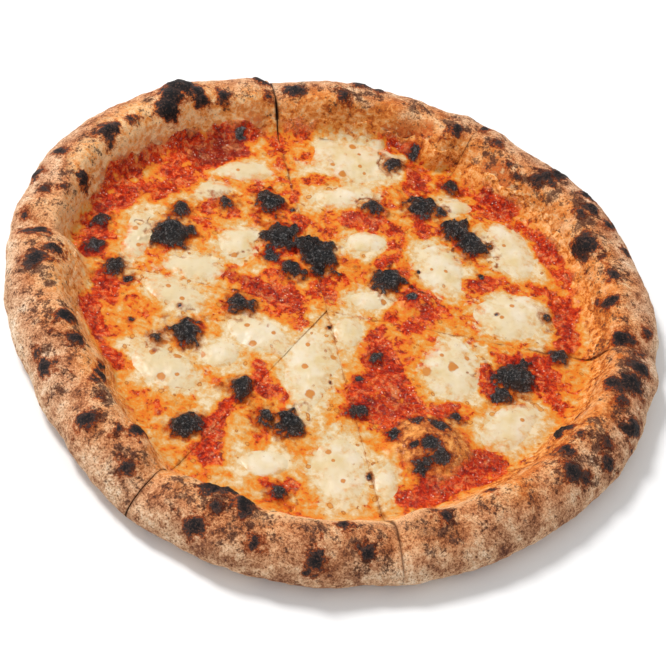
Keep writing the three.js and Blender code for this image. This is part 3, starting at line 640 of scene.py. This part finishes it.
def dough_slice(cut):
    """The base of a slice with its length of puffed rim: a closed section swept through the slice."""
    under, places, floor = np.linspace(0, 1, 26), np.linspace(-88, 180, 108), np.linspace(1, 0, 10)[1:]
    columns = round(cut["span"] * CRUST_RADIUS / CRUST_MESH)
    sizes = [len(under), len(places), len(floor)]
    mesh, row, share = ruled_sheet(f"dough_{cut['name']}", sum(sizes), columns)
    inward = np.concatenate([under, np.ones(sizes[1]), floor])[row]
    place = np.concatenate([np.full(sizes[0], -90.0), places, np.full(sizes[2], 180.0)])[row]
    angle = cut["first"] + share * cut["span"]
    radius, height, depth = rim_points(cut, angle, place)
    radius, to_foot = drawn_in(cut, inward, radius)
    height = mixed(BASE_THICKNESS, height, np.where(place == 180, bell(to_foot, FOOT_SPREAD), 1))
    angle = wedge_angle(cut, share, radius)
    points = in_space(angle, radius, height)
    below = place <= -88
    blister = eased(rough(points, 14, 33), 0.1, 0.6) * eased(-rough(points, 40, 35), -0.6, 0.3)
    points[:, 2] = np.where(below, 0.5 * blister * (inward < 1), points[:, 2])
    fields = {
        "char": depth,
        "place": place / 180,
        "browned": by_direction(angle, CROWN_BROWNING),
        "paled": by_direction(angle, SLOPE_PALENESS),
        "wall": by_direction(angle, WALL_BROWNING),
        "climb": by_direction(angle, STAIN_CLIMB),
        "scorch": rim_scorch(cut, points),
        "seam": seam_strength(cut, points),
        "tomato": 0.5 * zone_strength(points, RED_ZONES),
    }
    laid_down(mesh, points, fields)
    finished(mesh)
    return mesh


def tomato_slice(cut):
    """The layer of cooked tomato of a slice, which thins out up the inner side of the rim."""
    floor, climb = np.linspace(0, 1, 180), np.linspace(0, 1, 34)[1:]
    back, below = np.linspace(1, 0, 9), np.linspace(1, 0, 9)[1:]
    columns = round(cut["span"] * (CRUST_RADIUS - FOOT_INSET) / TOMATO_MESH)
    sizes = [len(floor), len(climb), len(back), len(below)]
    mesh, row, share = ruled_sheet(f"tomato_{cut['name']}", sum(sizes), columns)
    inward = np.concatenate([floor, np.ones(sizes[1] + sizes[2]), below])[row]
    upward = np.concatenate([np.zeros(sizes[0]), climb, back, np.zeros(sizes[3])])[row]
    on_top = row < sizes[0] + sizes[1]
    angle = cut["first"] + share * cut["span"]
    plain_radius, _ = plain_rim(cut, angle, np.full(len(angle), 140.0))
    ragged = rough(in_space(angle, plain_radius, 0 * angle), 13, 51)
    place = 180 - upward * (SAUCE_CLIMB + CLIMB_SWAY * ragged)
    radius, height, _ = rim_points(cut, angle, place)
    swollen = (height - BASE_THICKNESS) * (upward == 0)
    radius, to_foot = drawn_in(cut, inward, radius)
    height = height - swollen * (1 - bell(to_foot, FOOT_SPREAD))
    angle = wedge_angle(cut, share, radius)
    points = in_space(angle, radius, height)
    relief, depth, domed = blister_relief(points)
    spread = 1 - eased(upward, 0.1, 1)
    top = mixed(0.1, LAYER_GAP + SAUCE_THICKNESS, spread)
    top = top + (relief + topping_relief(cut, points)) * (1 - upward**3)
    points[:, 2] += np.where(on_top, np.maximum(top, 0.05), -0.3 * upward + LAYER_GAP * (1 - upward))
    dryness = upward * by_direction(angle, EDGE_DRYNESS)
    fields = {
        "char": depth,
        "tomato": zone_strength(points, RED_ZONES) * (1 - eased(dryness, 0.45, 0.95)),
        "oil": zone_strength(points, OIL_ZONES),
        "cheese": cheese_halo(points),
        "edge": dryness,
        "paled": by_direction(angle, SLOPE_PALENESS),
        "dome": domed,
        "seam": seam_strength(cut, points),
    }
    laid_down(mesh, points, fields)
    finished(mesh)
    return mesh


def cheese_drops(points):
    """1 on the toasted, oily drops of the cheese."""
    ragged = 1.05 + 0.3 * unevenness(points, 3.5, 97) + 0.15 * unevenness(points, 1.8, 98)
    strongest = np.zeros(len(points))
    for x, y, radius in CHEESE_SPOTS:
        share = from_spot(points, x, y, radius) * ragged
        strongest = np.maximum(strongest, eased(1.3 - share, 0, 0.7))
    return strongest


def faces_of(mesh):
    """A mesh's faces, ready to be asked what lies under a place."""
    bm = bmesh.new()
    bm.from_mesh(mesh)
    faces = BVHTree.FromBMesh(bm)
    bm.free()
    return faces


def height_of(faces, x, y):
    above = Vector(((x + CROSSING[0]) * MM, (y + CROSSING[1]) * MM, 0.1))
    hit = faces.ray_cast(above, Vector((0, 0, -1)))[0]
    return hit.z / MM if hit else BASE_THICKNESS + LAYER_GAP + SAUCE_THICKNESS


def mozzarella_pool(cut, name, pool, sauce):
    """A pool of melted cheese: a lens drawn out to its ragged outline and draped over the tomato."""
    x, y, half_length, half_width, direction = pool
    below, above = np.linspace(0, 1, 5), np.linspace(1, 0, 34)[1:]
    columns = round(math.pi * (half_length + half_width) / CHEESE_MESH)
    mesh, row, share = ruled_sheet(name, len(below) + len(above), columns)
    outward = np.concatenate([below, above])[row]
    on_top = row >= len(below)
    around, turn = 2 * math.pi * (share % 1), math.radians(direction)
    rim = in_space(around, np.full(len(around), 1.0), 0 * around) * (half_length, half_width, 0)
    along, across = rim[:, 0], rim[:, 1]
    spot = np.stack([
        x + along * math.cos(turn) - across * math.sin(turn),
        y + along * math.sin(turn) + across * math.cos(turn),
        0 * along,
    ], axis=-1)
    middle = np.array([x, y, 0.0])
    reach = outward * mixed(1, 1.06 / raggedness(spot), outward**2)
    points = middle + (spot - middle) * reach[:, None]
    relief, depth, _ = blister_relief(points)
    carried = np.array([height_of(sauce, *place) for place in points[:, :2]]) - relief
    thick = 0.5 * POOL_THICKNESS * (1 - outward**2) ** 1.3 - 0.3 * outward**8
    wavy = 0.1 * rough(points, 12, 55) * (1 - outward**2)
    points[:, 2] = carried + np.where(on_top, thick + wavy, -0.45)
    fields = {
        "char": depth,
        "tomato": zone_strength(points, RED_ZONES) * outward**3,
        "oil": zone_strength(points, OIL_ZONES),
        "edge": outward,
        "seam": seam_strength(cut, points),
        "drop": cheese_drops(points),
        # darker and yellower to the left: partly thinner melted cheese, partly painted shade against the
        # brighter light from the left
        "thin_and_shaded": eased(-points[:, 0], 30, 80),  # the pools to the left have melted thinner
    }
    laid_down(mesh, points, fields)
    cuts = []
    for line, side in ((cut["first"], -1), (cut["first"] + cut["span"], 1)):
        outside = np.array([-math.sin(line), math.cos(line)]) * side
        place = (*(-outside * CUT_GAP / 2 + CROSSING) * MM, 0)
        cuts.append((place, (*outside, 0)))
    finished(mesh, cuts)
    return mesh


# ------------------------------------------------------------------ materials


def linear(code):
    """An sRGB hex colour as the linear colour that a shader takes."""
    parts = [int(code[n : n + 2], 16) / 255 for n in (1, 3, 5)]
    return (*(c / 12.92 if c <= 0.04045 else ((c + 0.055) / 1.055) ** 2.4 for c in parts), 1.0)


def per_mm(size):
    """Texture scale whose features are about size mm across, for coordinates in metres."""
    return 1 / (size * MM)


def put(tree, kind, sockets=(), stops=(), **settings):
    """Adds a node: its settings, a value or a link for each socket, and the stops of its ramp."""
    node = tree.nodes.new("ShaderNode" + kind)
    for name, setting in settings.items():
        setattr(node, name, setting)
    for socket, value in dict(sockets).items():
        if isinstance(socket, str):
            socket = next(n for n, s in enumerate(node.inputs) if s.enabled and s.name == socket)
        if isinstance(value, bpy.types.Node):
            value = next(output for output in value.outputs if output.enabled)
        if isinstance(value, bpy.types.NodeSocket):
            tree.links.new(value, node.inputs[socket])
        else:
            node.inputs[socket].default_value = linear(value) if isinstance(value, str) else value
    for number, (place, colour) in enumerate(stops):
        elements = node.color_ramp.elements
        element = elements[number] if number < len(elements) else elements.new(place)
        element.position = place
        element.color = linear(colour)
    return node


def summed(tree, level, *patterns):
    """A level to which several patterns are added, each by its weight."""
    for pattern, weight in patterns:
        level = put(tree, "Math", {0: pattern, 1: weight, 2: level}, operation="MULTIPLY_ADD")
    return level


def laid_over(tree, shade, colour, level, start, full, most=1.0):
    """A colour over the shade so far, from where a level passes start to where it is full."""
    cover = put(tree, "MapRange", {"Value": level, "From Min": start, "From Max": full, "To Max": most})
    return put(tree, "Mix", {"Factor": cover, "A": shade, "B": colour}, data_type="RGBA")


def new_material(name):
    material = bpy.data.materials.new(name)
    material.use_nodes = True
    material.node_tree.nodes.clear()
    return material, material.node_tree


def surfaced(tree, shade, roughness, gloss, relief, more=()):
    """Ends a material with its relief, as strength, depth in mm and pattern of each layer."""
    skin = {}
    for strength, depth, pattern in relief:
        layer = {"Strength": strength, "Distance": depth * MM, "Height": pattern, **skin}
        skin = {"Normal": put(tree, "Bump", layer)}
    sockets = {"Base Color": shade, "Roughness": roughness, "Specular IOR Level": gloss, **skin, **dict(more)}
    put(tree, "OutputMaterial", {"Surface": put(tree, "BsdfPrincipled", sockets)})


# Ash, raggedness and width of the scorched ring of a burnt mark, on the crust and on the topping; the
# topping's pale grey grains are also painted glints on the glossy char.
CRUST_ASH = ("#6b4c40", 3.6, 0.35)
TOPPING_ASH_AND_GLINTS = ("#a59f9c", 2.8, 0.75)


def charring(tree, where, colour, depth, ash_and_glints, raggedness, ring):
    """Burnt marks: a scorched edge broken into specks, then cracked black crust with paler grains of ash,
    which on the topping are also painted glints.
    """
    ragged, grains = (
        put(tree, "TexNoise", {"Vector": where, "Scale": per_mm(size), "Detail": detail, "Roughness": coarse})
        for size, detail, coarse in ((2.4, 8, 0.78), (1.1, 3, 0.75))
    )
    level = summed(tree, -raggedness / 2, (ragged, raggedness), (depth, 1))
    scorch = put(tree, "MapRange", {"Value": level, "From Min": -ring, "From Max": 0.1})
    brown = put(tree, "Mix", {"Factor": scorch, "A": "#ffffff", "B": "#bc7a4c"}, data_type="RGBA")
    browned = put(
        tree, "Mix", {"Factor": 1.0, "A": colour, "B": brown}, data_type="RGBA", blend_type="MULTIPLY"
    )
    crust = put(
        tree, "ValToRGB", {"Fac": level},
        stops=[(0.15, "#60402f"), (0.34, "#43302a"), (0.6, "#241c1c"), (0.85, "#100f10"), (1.0, "#151416")],
    )
    ash_and_glint_level = put(tree, "Math", {0: ragged, 1: 0.8, 2: grains}, operation="MULTIPLY_ADD")
    crust = laid_over(tree, crust, ash_and_glints, ash_and_glint_level, 0.93, 1.08, 0.62)
    black = put(tree, "MapRange", {"Value": level, "From Min": 0.14, "From Max": 0.28})
    shade = put(tree, "Mix", {"Factor": black, "A": browned, "B": crust}, data_type="RGBA")
    return shade, black, level


def juicy_mottle(tree, where):
    """The soft-edged mottling that oil and juice leave in cheese and dough."""
    sockets = {"Vector": where, "Scale": per_mm(3), "Detail": 5, "Roughness": 0.6, "Distortion": 0.4}
    return put(tree, "TexNoise", sockets)


def stewed(tree, where, cheese, edge):
    """Melted cheese stained by orange oil and juice, down to bare red tomato where the zones say so."""
    red, oil, seam = (
        put(tree, "Attribute", attribute_name=name).outputs["Fac"] for name in ("tomato", "oil", "seam")
    )
    sockets = {"Vector": where, "Scale": per_mm(8), "Detail": 5, "Roughness": 0.55, "Distortion": 0.5}
    swirl = put(tree, "TexNoise", sockets)
    mottle = juicy_mottle(tree, where)
    grain = put(tree, "TexNoise", {"Vector": where, "Scale": per_mm(0.9), "Detail": 3, "Roughness": 0.7})
    juice = summed(tree, -0.905, (swirl, 1.45), (mottle, 0.95), (grain, 0.28), (oil, 0.25), (red, 0.49))
    juice = summed(tree, juice, (cheese, -0.21), (edge, 0.1))
    shade = put(
        tree, "ValToRGB", {"Fac": juice},
        stops=[(0.04, "#e0caa4"), (0.2, "#d5b07c"), (0.33, "#d59c54"), (0.46, "#d8862c"),
               (0.59, "#dc741f"), (0.71, "#db521a"), (0.9, "#cd3614"), (1.0, "#a3260f")],
    )
    bare = put(tree, "MapRange", {"Value": juice, "From Min": 0.6, "From Max": 0.76})
    # milky cheese that has run out past the pools, in soft ragged patches
    milky = summed(tree, -0.5, (cheese, 0.75), (swirl, 1.5), (mottle, -0.9), (red, -0.45), (oil, -0.18))
    curds = put(
        tree, "ValToRGB", {"Fac": mottle}, stops=[(0.35, "#d8c7a4"), (0.5, "#d4ba8c"), (0.65, "#cca26a")]
    )
    shade = laid_over(tree, shade, curds, milky, 0.38, 0.66, 0.9)
    # toasted pits, orange with a brown rim
    bubbles = put(tree, "TexVoronoi", {"Vector": where, "Scale": per_mm(5.5), "Randomness": 1.0})
    bubbling = put(tree, "TexNoise", {"Vector": where, "Scale": per_mm(6), "Detail": 1, "Roughness": 0.5})
    pit = summed(tree, -0.58, (bubbling, 1.1), (bubbles, -1), (mottle, 0.3), (bare, -0.3))
    toast = put(
        tree, "ValToRGB", {"Fac": pit}, stops=[(0.02, "#8c4a1e"), (0.07, "#b56a28"), (0.12, "#cf8a3c")]
    )
    shade = laid_over(tree, shade, toast, pit, 0.0, 0.03, 0.85)
    # brown peppery specks where cheese and oil have caught
    pepper = summed(tree, grain, (mottle, 0.6), (swirl, 0.4), (oil, 0.06))
    shade = laid_over(tree, shade, "#6a3216", pepper, 1.21, 1.3, 0.7)
    # juice stain and painted shade along the cuts
    caught = summed(tree, -0.95, (mottle, 1.6), (seam, 1))
    juice_and_cut_shade = put(
        tree, "ValToRGB", {"Fac": caught}, stops=[(0.2, "#b86428"), (0.5, "#8f4a1e"), (1.0, "#341a10")]
    )
    return laid_over(tree, shade, juice_and_cut_shade, caught, 0.08, 0.7, 0.7), bare, mottle


def dried(tree, where, mottle):
    """Orange oil and sauce dried on to the dough where the topping thins out up the rim."""
    paled = put(tree, "Attribute", attribute_name="paled").outputs["Fac"]
    grain = put(tree, "TexNoise", {"Vector": where, "Scale": per_mm(0.9), "Detail": 3, "Roughness": 0.7})
    return put(
        tree, "ValToRGB", {"Fac": summed(tree, -0.28, (mottle, 1.2), (grain, 0.6), (paled, -0.26))},
        stops=[(0.28, "#fdd09c"), (0.42, "#f6ad66"), (0.55, "#e28537"), (0.68, "#b85c26"), (0.82, "#5a2e1e")],
    )


def wood_fired_crust():
    """Leavened wheat dough baked in a wood-fired oven: floury and matt, freckled brown on its crown."""
    material, tree = new_material("wood_fired_crust")
    where = put(tree, "TexCoord").outputs["Object"]
    place, red, depth, browned, paled, wall, climb, toasted, seam = (
        put(tree, "Attribute", attribute_name=name).outputs["Fac"]
        for name in ("place", "tomato", "char", "browned", "paled", "wall", "climb", "scorch", "seam")
    )
    broad, soft, patchy, grain, stone, patches, grit = (
        put(tree, "TexNoise", {"Vector": where, "Scale": per_mm(size), "Detail": detail, "Roughness": coarse})
        for size, detail, coarse in (
            (20, 4, 0.55), (10, 3, 0.55), (3.4, 7, 0.72), (1.1, 4, 0.8),
            (13, 7, 0.62), (5.5, 8, 0.72), (0.9, 3, 0.75),
        )
    )
    # how far up and over the rim: pale wall, browned crown, oily inner slope
    along = summed(tree, -0.35, (broad, 0.7), (place, 1))
    crown = put(tree, "MapRange", {"Value": along, "From Min": 0.02, "From Max": 0.45})
    slope = put(tree, "MapRange", {"Value": along, "From Min": 0.44, "From Max": 0.64})
    # every zone is a run of colours, entered further along where the dough is baked darker
    baked = summed(tree, -1.41, (soft, 1.3), (patchy, 1.2), (grain, 1.1))
    walled = put(tree, "Math", {0: wall, 1: 0.36, 2: baked}, operation="MULTIPLY_ADD")
    darker = summed(tree, -0.19, (browned, 0.5), (baked, 1))
    lighter = summed(tree, 0.14, (paled, -0.55), (baked, 1))
    wall_shade, crown_shade, slope_shade = (
        put(tree, "ValToRGB", {"Fac": level}, stops=stops)
        for level, stops in (
            (walled,
             [(0.1, "#fdead4"), (0.38, "#f1d4b4"), (0.62, "#dfb48e"), (0.85, "#ad7a58"), (1.0, "#7a4e3d")]),
            (darker,
             [(0.1, "#fbcf9f"), (0.34, "#f1b078"), (0.58, "#d28552"), (0.78, "#9a5733"), (0.97, "#4a302c")]),
            (lighter,
             [(0.05, "#ffcf9c"), (0.27, "#f8ab66"), (0.47, "#ea873b"), (0.68, "#cd6224"), (0.85, "#94471f"),
              (1.0, "#572f22")]),
        )
    )
    shade = put(tree, "Mix", {"Factor": crown, "A": wall_shade, "B": crown_shade}, data_type="RGBA")
    shade = put(tree, "Mix", {"Factor": slope, "A": shade, "B": slope_shade}, data_type="RGBA")
    # oil dried on at the foot of the slope, and sauce splashed up it
    mottle = juicy_mottle(tree, where)
    foot = summed(tree, along, (red, 0.12), (climb, 1))
    foot = put(tree, "MapRange", {"Value": foot, "From Min": 0.6, "From Max": 0.76})
    shade = put(tree, "Mix", {"Factor": foot, "A": shade, "B": dried(tree, where, mottle)}, data_type="RGBA")
    splash = put(tree, "Math", {0: soft, 1: 8, 2: -3}, operation="MULTIPLY_ADD")
    sauced = summed(tree, -0.8, (mottle, 1.6), (red, 1.6), (splash, climb))
    sauced = put(tree, "MapRange", {"Value": sauced, "From Min": 0.3, "From Max": 0.8, "To Max": 0.8})
    sauced = put(tree, "Math", {0: sauced, 1: slope}, operation="MULTIPLY")
    sauce = put(
        tree, "ValToRGB", {"Fac": mottle}, stops=[(0.38, "#983412"), (0.5, "#cc5a26"), (0.62, "#ea9452")]
    )
    shade = put(tree, "Mix", {"Factor": sauced, "A": shade, "B": sauce}, data_type="RGBA")
    # the base, browned and spotted by the oven's stone floor
    hearth = put(
        tree, "ValToRGB", {"Fac": stone},
        stops=[(0.36, "#efd3aa"), (0.48, "#d9ae79"), (0.56, "#9a6740"), (0.62, "#4a3226"), (0.68, "#221b19")],
    )
    shade = laid_over(tree, shade, hearth, place, -0.38, -0.49)
    # scorched patches a few millimetres across, most of all on the crown where it is browned
    baring = put(tree, "Math", {0: browned, 1: crown}, operation="MULTIPLY")
    stained = put(tree, "Math", {0: climb, 1: foot}, operation="MULTIPLY")
    scorch = summed(tree, -1, (patches, 2), (grain, 0.8), (baring, 0.14), (toasted, 0.31), (stained, -1.2))
    brown = put(
        tree, "ValToRGB", {"Fac": grain}, stops=[(0.38, "#8a5a40"), (0.5, "#5c3e33"), (0.62, "#3a2928")]
    )
    shade = laid_over(tree, shade, brown, scorch, 0.63, 0.8, 0.86)
    # brown freckles under a millimetre across, crowded round the patches
    cells = put(tree, "TexVoronoi", {"Vector": where, "Scale": per_mm(1.9), "Randomness": 1.0})
    freckle = summed(tree, -1.3, (patchy, 2), (scorch, 0.9), (cells, -1))
    shade = laid_over(tree, shade, "#5f3a29", freckle, -0.05, 0.15, 0.7)
    # gritty flour and fine cracks
    flour = put(
        tree, "ValToRGB", {"Fac": grit}, stops=[(0.36, "#8f7260"), (0.45, "#e6d9cc"), (0.54, "#ffffff")]
    )
    gritty = put(tree, "MapRange", {"Value": slope, "To Min": 0.9, "To Max": 0.4})
    shade = put(
        tree, "Mix", {"Factor": gritty, "A": shade, "B": flour}, data_type="RGBA", blend_type="MULTIPLY"
    )
    # juice stain and painted shade along the cuts
    juice_and_cut_shade = put(
        tree, "ValToRGB", {"Fac": seam}, stops=[(0.3, "#9a6640"), (0.65, "#5c3624"), (1.0, "#23140f")]
    )
    shade = laid_over(tree, shade, juice_and_cut_shade, seam, 0.2, 1.1, 0.9)
    shade, black, level = charring(tree, where, shade, depth, *CRUST_ASH)
    roughness = put(tree, "MapRange", {"Value": black, "To Min": 0.85, "To Max": 0.6})
    surfaced(tree, shade, roughness, 0.15, [(0.6, 1, patchy), (0.7, 0.5, grain), (0.5, 0.4, level)])
    return material


def cooked_tomato():
    """Crushed tomato baked under oil and melted cheese: wet, pulpy and brightest where it is bare."""
    material, tree = new_material("cooked_tomato")
    where = put(tree, "TexCoord").outputs["Object"]
    red, cheese, edge, depth, domed = (
        put(tree, "Attribute", attribute_name=name).outputs["Fac"]
        for name in ("tomato", "cheese", "edge", "char", "dome")
    )
    pulp, blotches, drops, crowd = (
        put(tree, "TexNoise", {"Vector": where, "Scale": per_mm(size), "Detail": detail, "Roughness": coarse})
        for size, detail, coarse in ((1.5, 3, 0.65), (4, 7, 0.75), (1.2, 2, 0.6), (6, 2, 0.5))
    )
    flesh, veil = (
        put(
            tree, "TexNoise",
            {"Vector": where, "Scale": per_mm(size), "Detail": detail, "Roughness": 0.72, "Distortion": bent},
        )
        for size, detail, bent in ((4, 5, 0.6), (7, 7, 1.2))
    )
    shade, bare, mottle = stewed(tree, where, cheese, edge)
    # deep and pale places in the bare tomato, darkest where it lies sunk
    flesh = put(
        tree, "ValToRGB", {"Fac": flesh},
        stops=[(0.4, "#801206"), (0.47, "#be2809"), (0.54, "#e0420e"), (0.61, "#f2884a")],
    )
    deep = put(tree, "Math", {0: bare, 1: 0.85}, operation="MULTIPLY")
    shade = put(tree, "Mix", {"Factor": deep, "A": shade, "B": flesh}, data_type="RGBA")
    shade = laid_over(tree, shade, "#681606", red, 0.9, 1.25, 0.6)
    # pale flecks painted on the bare tomato as glints, which also read as skins and seeds paler than the
    # pulp, then a thin veil of cheese drawn over the tomato
    for pattern, start, full, most, colour in (
        (pulp, 0.62, 0.7, 0.4, "#ee9a66"), (veil, 0.56, 0.67, 0.65, "#e89c64"),
    ):
        cover = put(tree, "MapRange", {"Value": pattern, "From Min": start, "From Max": full, "To Max": most})
        cover = put(tree, "Math", {0: cover, 1: bare}, operation="MULTIPLY")
        shade = put(tree, "Mix", {"Factor": cover, "A": shade, "B": colour}, data_type="RGBA")
    # painted highlights: pale specks in clusters on the bare tomato, where beads of fat would catch the light
    painted_glints = put(tree, "TexVoronoi", {"Vector": where, "Scale": per_mm(2.1), "Randomness": 1.0})
    painted_glints = put(
        tree, "MapRange", {"Value": painted_glints, "From Min": 0.1, "From Max": 0.24, "To Min": 1, "To Max": 0}
    )
    crowd = put(tree, "MapRange", {"Value": crowd, "From Min": 0.47, "From Max": 0.6, "To Max": 0.85})
    painted_glints = put(tree, "Math", {0: painted_glints, 1: crowd}, operation="MULTIPLY")
    painted_glints = put(tree, "Math", {0: painted_glints, 1: bare}, operation="MULTIPLY")
    shade = put(tree, "Mix", {"Factor": painted_glints, "A": shade, "B": "#ffd6bc"}, data_type="RGBA")
    # a dome of dough, toasted through its thin coat of sauce
    toast = put(
        tree, "ValToRGB", {"Fac": blotches},
        stops=[(0.36, "#f0b870"), (0.47, "#e2954a"), (0.56, "#ab5f2c"), (0.64, "#4d2a1c")],
    )
    covered = put(tree, "Math", {0: domed, 1: 0.85}, operation="MULTIPLY")
    shade = put(tree, "Mix", {"Factor": covered, "A": shade, "B": toast}, data_type="RGBA")
    # the layer dries out to the colour of the dough as it thins up the rim
    dry = summed(tree, -0.6, (mottle, 1.2), (edge, 1), (red, -0.4))
    shade = laid_over(tree, shade, dried(tree, where, mottle), dry, 0.25, 0.8)
    shade, black, burnt = charring(tree, where, shade, depth, *TOPPING_ASH_AND_GLINTS)
    # pulpy lumps, crags of char and standing drops of juice
    wetness = put(tree, "Math", {0: bare, 1: 0.9, 2: 0.06}, operation="MULTIPLY_ADD")
    lumps = put(tree, "Math", {0: pulp, 1: -0.5}, operation="ADD")
    lumps = put(tree, "Math", {0: lumps, 1: wetness}, operation="MULTIPLY")
    crags = put(tree, "Math", {0: burnt, 1: black}, operation="MULTIPLY")
    drops = put(tree, "MapRange", {"Value": drops, "From Min": 0.53, "From Max": 0.62, "To Max": 1.0})
    drops = put(tree, "Math", {0: drops, 1: wetness}, operation="MULTIPLY")
    roughness = put(tree, "MapRange", {"Value": black, "To Min": 0.11, "To Max": 0.24})
    gloss = summed(tree, 0.1, (drops, 1), (black, 0.6))
    relief = [(0.7, 2.4, lumps), (0.5, 0.6, mottle), (0.9, 1.8, crags), (0.8, 0.8, drops)]
    surfaced(tree, shade, roughness, gloss, relief)
    return material


def melted_mozzarella():
    """Fresh mozzarella melted to pools: milky, a little translucent, with oily toasted drops."""
    material, tree = new_material("melted_mozzarella")
    where = put(tree, "TexCoord").outputs["Object"]
    edge, drop, depth, thin_and_shaded, seam = (
        put(tree, "Attribute", attribute_name=name).outputs["Fac"]
        for name in ("edge", "drop", "char", "thin_and_shaded", "seam")
    )
    film, _, mottle = stewed(tree, where, 1.0, 0.0)
    curd, wander = (
        put(tree, "TexNoise", {"Vector": where, "Scale": per_mm(size), "Detail": detail, "Roughness": coarse})
        for size, detail, coarse in ((9, 2, 0.5), (7, 5, 0.6))
    )
    # milky in the middle, yellower and darker towards the left where the pool is thin, partly as painted
    # shade against the brighter light there
    milk = put(
        tree, "ValToRGB", {"Fac": curd}, stops=[(0.32, "#e1d2b8"), (0.5, "#dcc9a5"), (0.68, "#d6bd8c")]
    )
    thin_and_shaded = put(tree, "Math", {0: thin_and_shaded, 1: 0.7}, operation="MULTIPLY")
    milk = put(tree, "Mix", {"Factor": thin_and_shaded, "A": milk, "B": "#d3be94"}, data_type="RGBA")
    # melted into the stained film round it and at the cuts
    reach = summed(tree, -1.3, (wander, 2.6), (edge, 1))
    melted = put(tree, "MapRange", {"Value": reach, "From Min": 0.46, "From Max": 1.0})
    melted = put(tree, "Math", {0: melted, 1: seam}, operation="MAXIMUM", use_clamp=True)
    shade = put(tree, "Mix", {"Factor": melted, "A": milk, "B": film}, data_type="RGBA")
    # toasted, oily drops
    toasted = put(tree, "Math", {0: mottle, 1: 0.8, 2: drop}, operation="MULTIPLY_ADD")
    toasted = put(tree, "MapRange", {"Value": toasted, "From Min": 0.7, "From Max": 1.2, "To Max": 0.92})
    toast = put(
        tree, "ValToRGB", {"Fac": toasted}, stops=[(0.1, "#7c3c12"), (0.45, "#b2600e"), (0.9, "#c47614")]
    )
    shade = put(tree, "Mix", {"Factor": toasted, "A": shade, "B": toast}, data_type="RGBA")
    shade, _, _ = charring(tree, where, shade, depth, *TOPPING_ASH_AND_GLINTS)
    milky = {"Subsurface Weight": 0.2, "Subsurface Radius": (1.0, 0.7, 0.4), "Subsurface Scale": 1.5 * MM}
    surfaced(tree, shade, 0.35, 0.4, [(0.25, 0.5, curd), (0.25, 0.3, mottle)], milky)
    return material


# ------------------------------------------------------------------ the pizza

crust_material = wood_fired_crust()
tomato_material = cooked_tomato()
cheese_material = melted_mozzarella()

for cut in SLICES:
    dough = dough_slice(cut)
    shown(f"crust_{cut['name']}", dough, crust_material, f"dough_{cut['name']}")
    sauce = tomato_slice(cut)
    shown(f"sauce_{cut['name']}", sauce, tomato_material, f"tomato_{cut['name']}")
    sauce_faces = faces_of(sauce)
    held = [pool for pool in POOLS if slice_holding(math.atan2(pool[1], pool[0])) is cut]
    for number, pool in enumerate(held, start=1):
        name, node = (f"{kind}_{cut['name']}_{number}" for kind in ("cheese", "mozzarella"))
        cheese = mozzarella_pool(cut, name, pool, sauce_faces)
        shown(name, cheese, cheese_material, node)

# ------------------------------------------------------------------ floor, light and camera

FLOOR_REACH = 3.0  # half a side, m
FLOOR_DROP = 0.4 * MM  # keeps the floor clear of the flat underside
GLOW = 0.62  # of the white room all round

floor_mesh = bpy.data.meshes.new("floor")
bm = bmesh.new()
bmesh.ops.create_grid(bm, x_segments=1, y_segments=1, size=FLOOR_REACH)
bmesh.ops.translate(bm, verts=bm.verts, vec=(0, 0, -FLOOR_DROP))
bm.to_mesh(floor_mesh)
bm.free()
floor = bpy.data.objects.new("floor", floor_mesh)
bpy.context.scene.collection.objects.link(floor)
paper, paper_tree = new_material("white_paper")
put(paper_tree, "OutputMaterial", {"Surface": put(paper_tree, "BsdfDiffuse", {"Color": "#f4f4f4"})})
floor_mesh.materials.append(paper)

world = bpy.data.worlds.new("studio")
bpy.context.scene.world = world
world.use_nodes = True
background = world.node_tree.nodes["Background"].inputs
background["Color"].default_value = (1, 1, 1, 1)
background["Strength"].default_value = GLOW


def soft_light(name, place, size, power):
    """A round lamp, aimed at the middle of the pizza: place and width in metres, power in watts."""
    lamp = bpy.data.lights.new(name, "AREA")
    lamp.shape = "DISK"
    lamp.size, lamp.energy = size, power
    holder = bpy.data.objects.new(name, lamp)
    holder.location = place
    holder.rotation_mode = "QUATERNION"
    holder.rotation_quaternion = (-Vector(place)).to_track_quat("-Z", "Y")
    bpy.context.scene.collection.objects.link(holder)


soft_light("key", (-1.2, 0.7, 1.9), 0.6, 42)
soft_light("fill", (-0.5, -0.9, 0.8), 0.9, 1.4)

LENS, SENSOR = 97.6, 36.0  # mm
CAMERA_DISTANCE = 864 * MM
CAMERA_ELEVATION, CAMERA_ROLL = math.radians(47.4), math.radians(-13)
# The camera stands back from AIM, then turns until SEEN lies along SEEN_TOWARDS.
AIM = Vector((CROSSING[0], CROSSING[1], 8)) * MM
SEEN = Vector((CROSSING[0], CROSSING[1], 5)) * MM  # the cuts' crossing, on top of the topping
SEEN_TOWARDS = Vector((-0.0036, 0.0119, -1))  # from the camera, in its own axes

lens = bpy.data.cameras.new("camera")
lens.lens, lens.sensor_width = LENS, SENSOR
camera = bpy.data.objects.new("camera", lens)
bpy.context.scene.collection.objects.link(camera)
bpy.context.scene.camera = camera
back = Vector((0, -math.cos(CAMERA_ELEVATION), math.sin(CAMERA_ELEVATION)))
camera.location = AIM + back * CAMERA_DISTANCE
camera.rotation_mode = "QUATERNION"
level_view = (-back).to_track_quat("-Z", "Y")
rolled = level_view @ Quaternion((0, 0, 1), -CAMERA_ROLL)
crossing_towards = rolled.inverted() @ (SEEN - camera.location)
camera.rotation_quaternion = rolled @ SEEN_TOWARDS.rotation_difference(crossing_towards)

bpy.context.scene.view_settings.view_transform = "Standard"
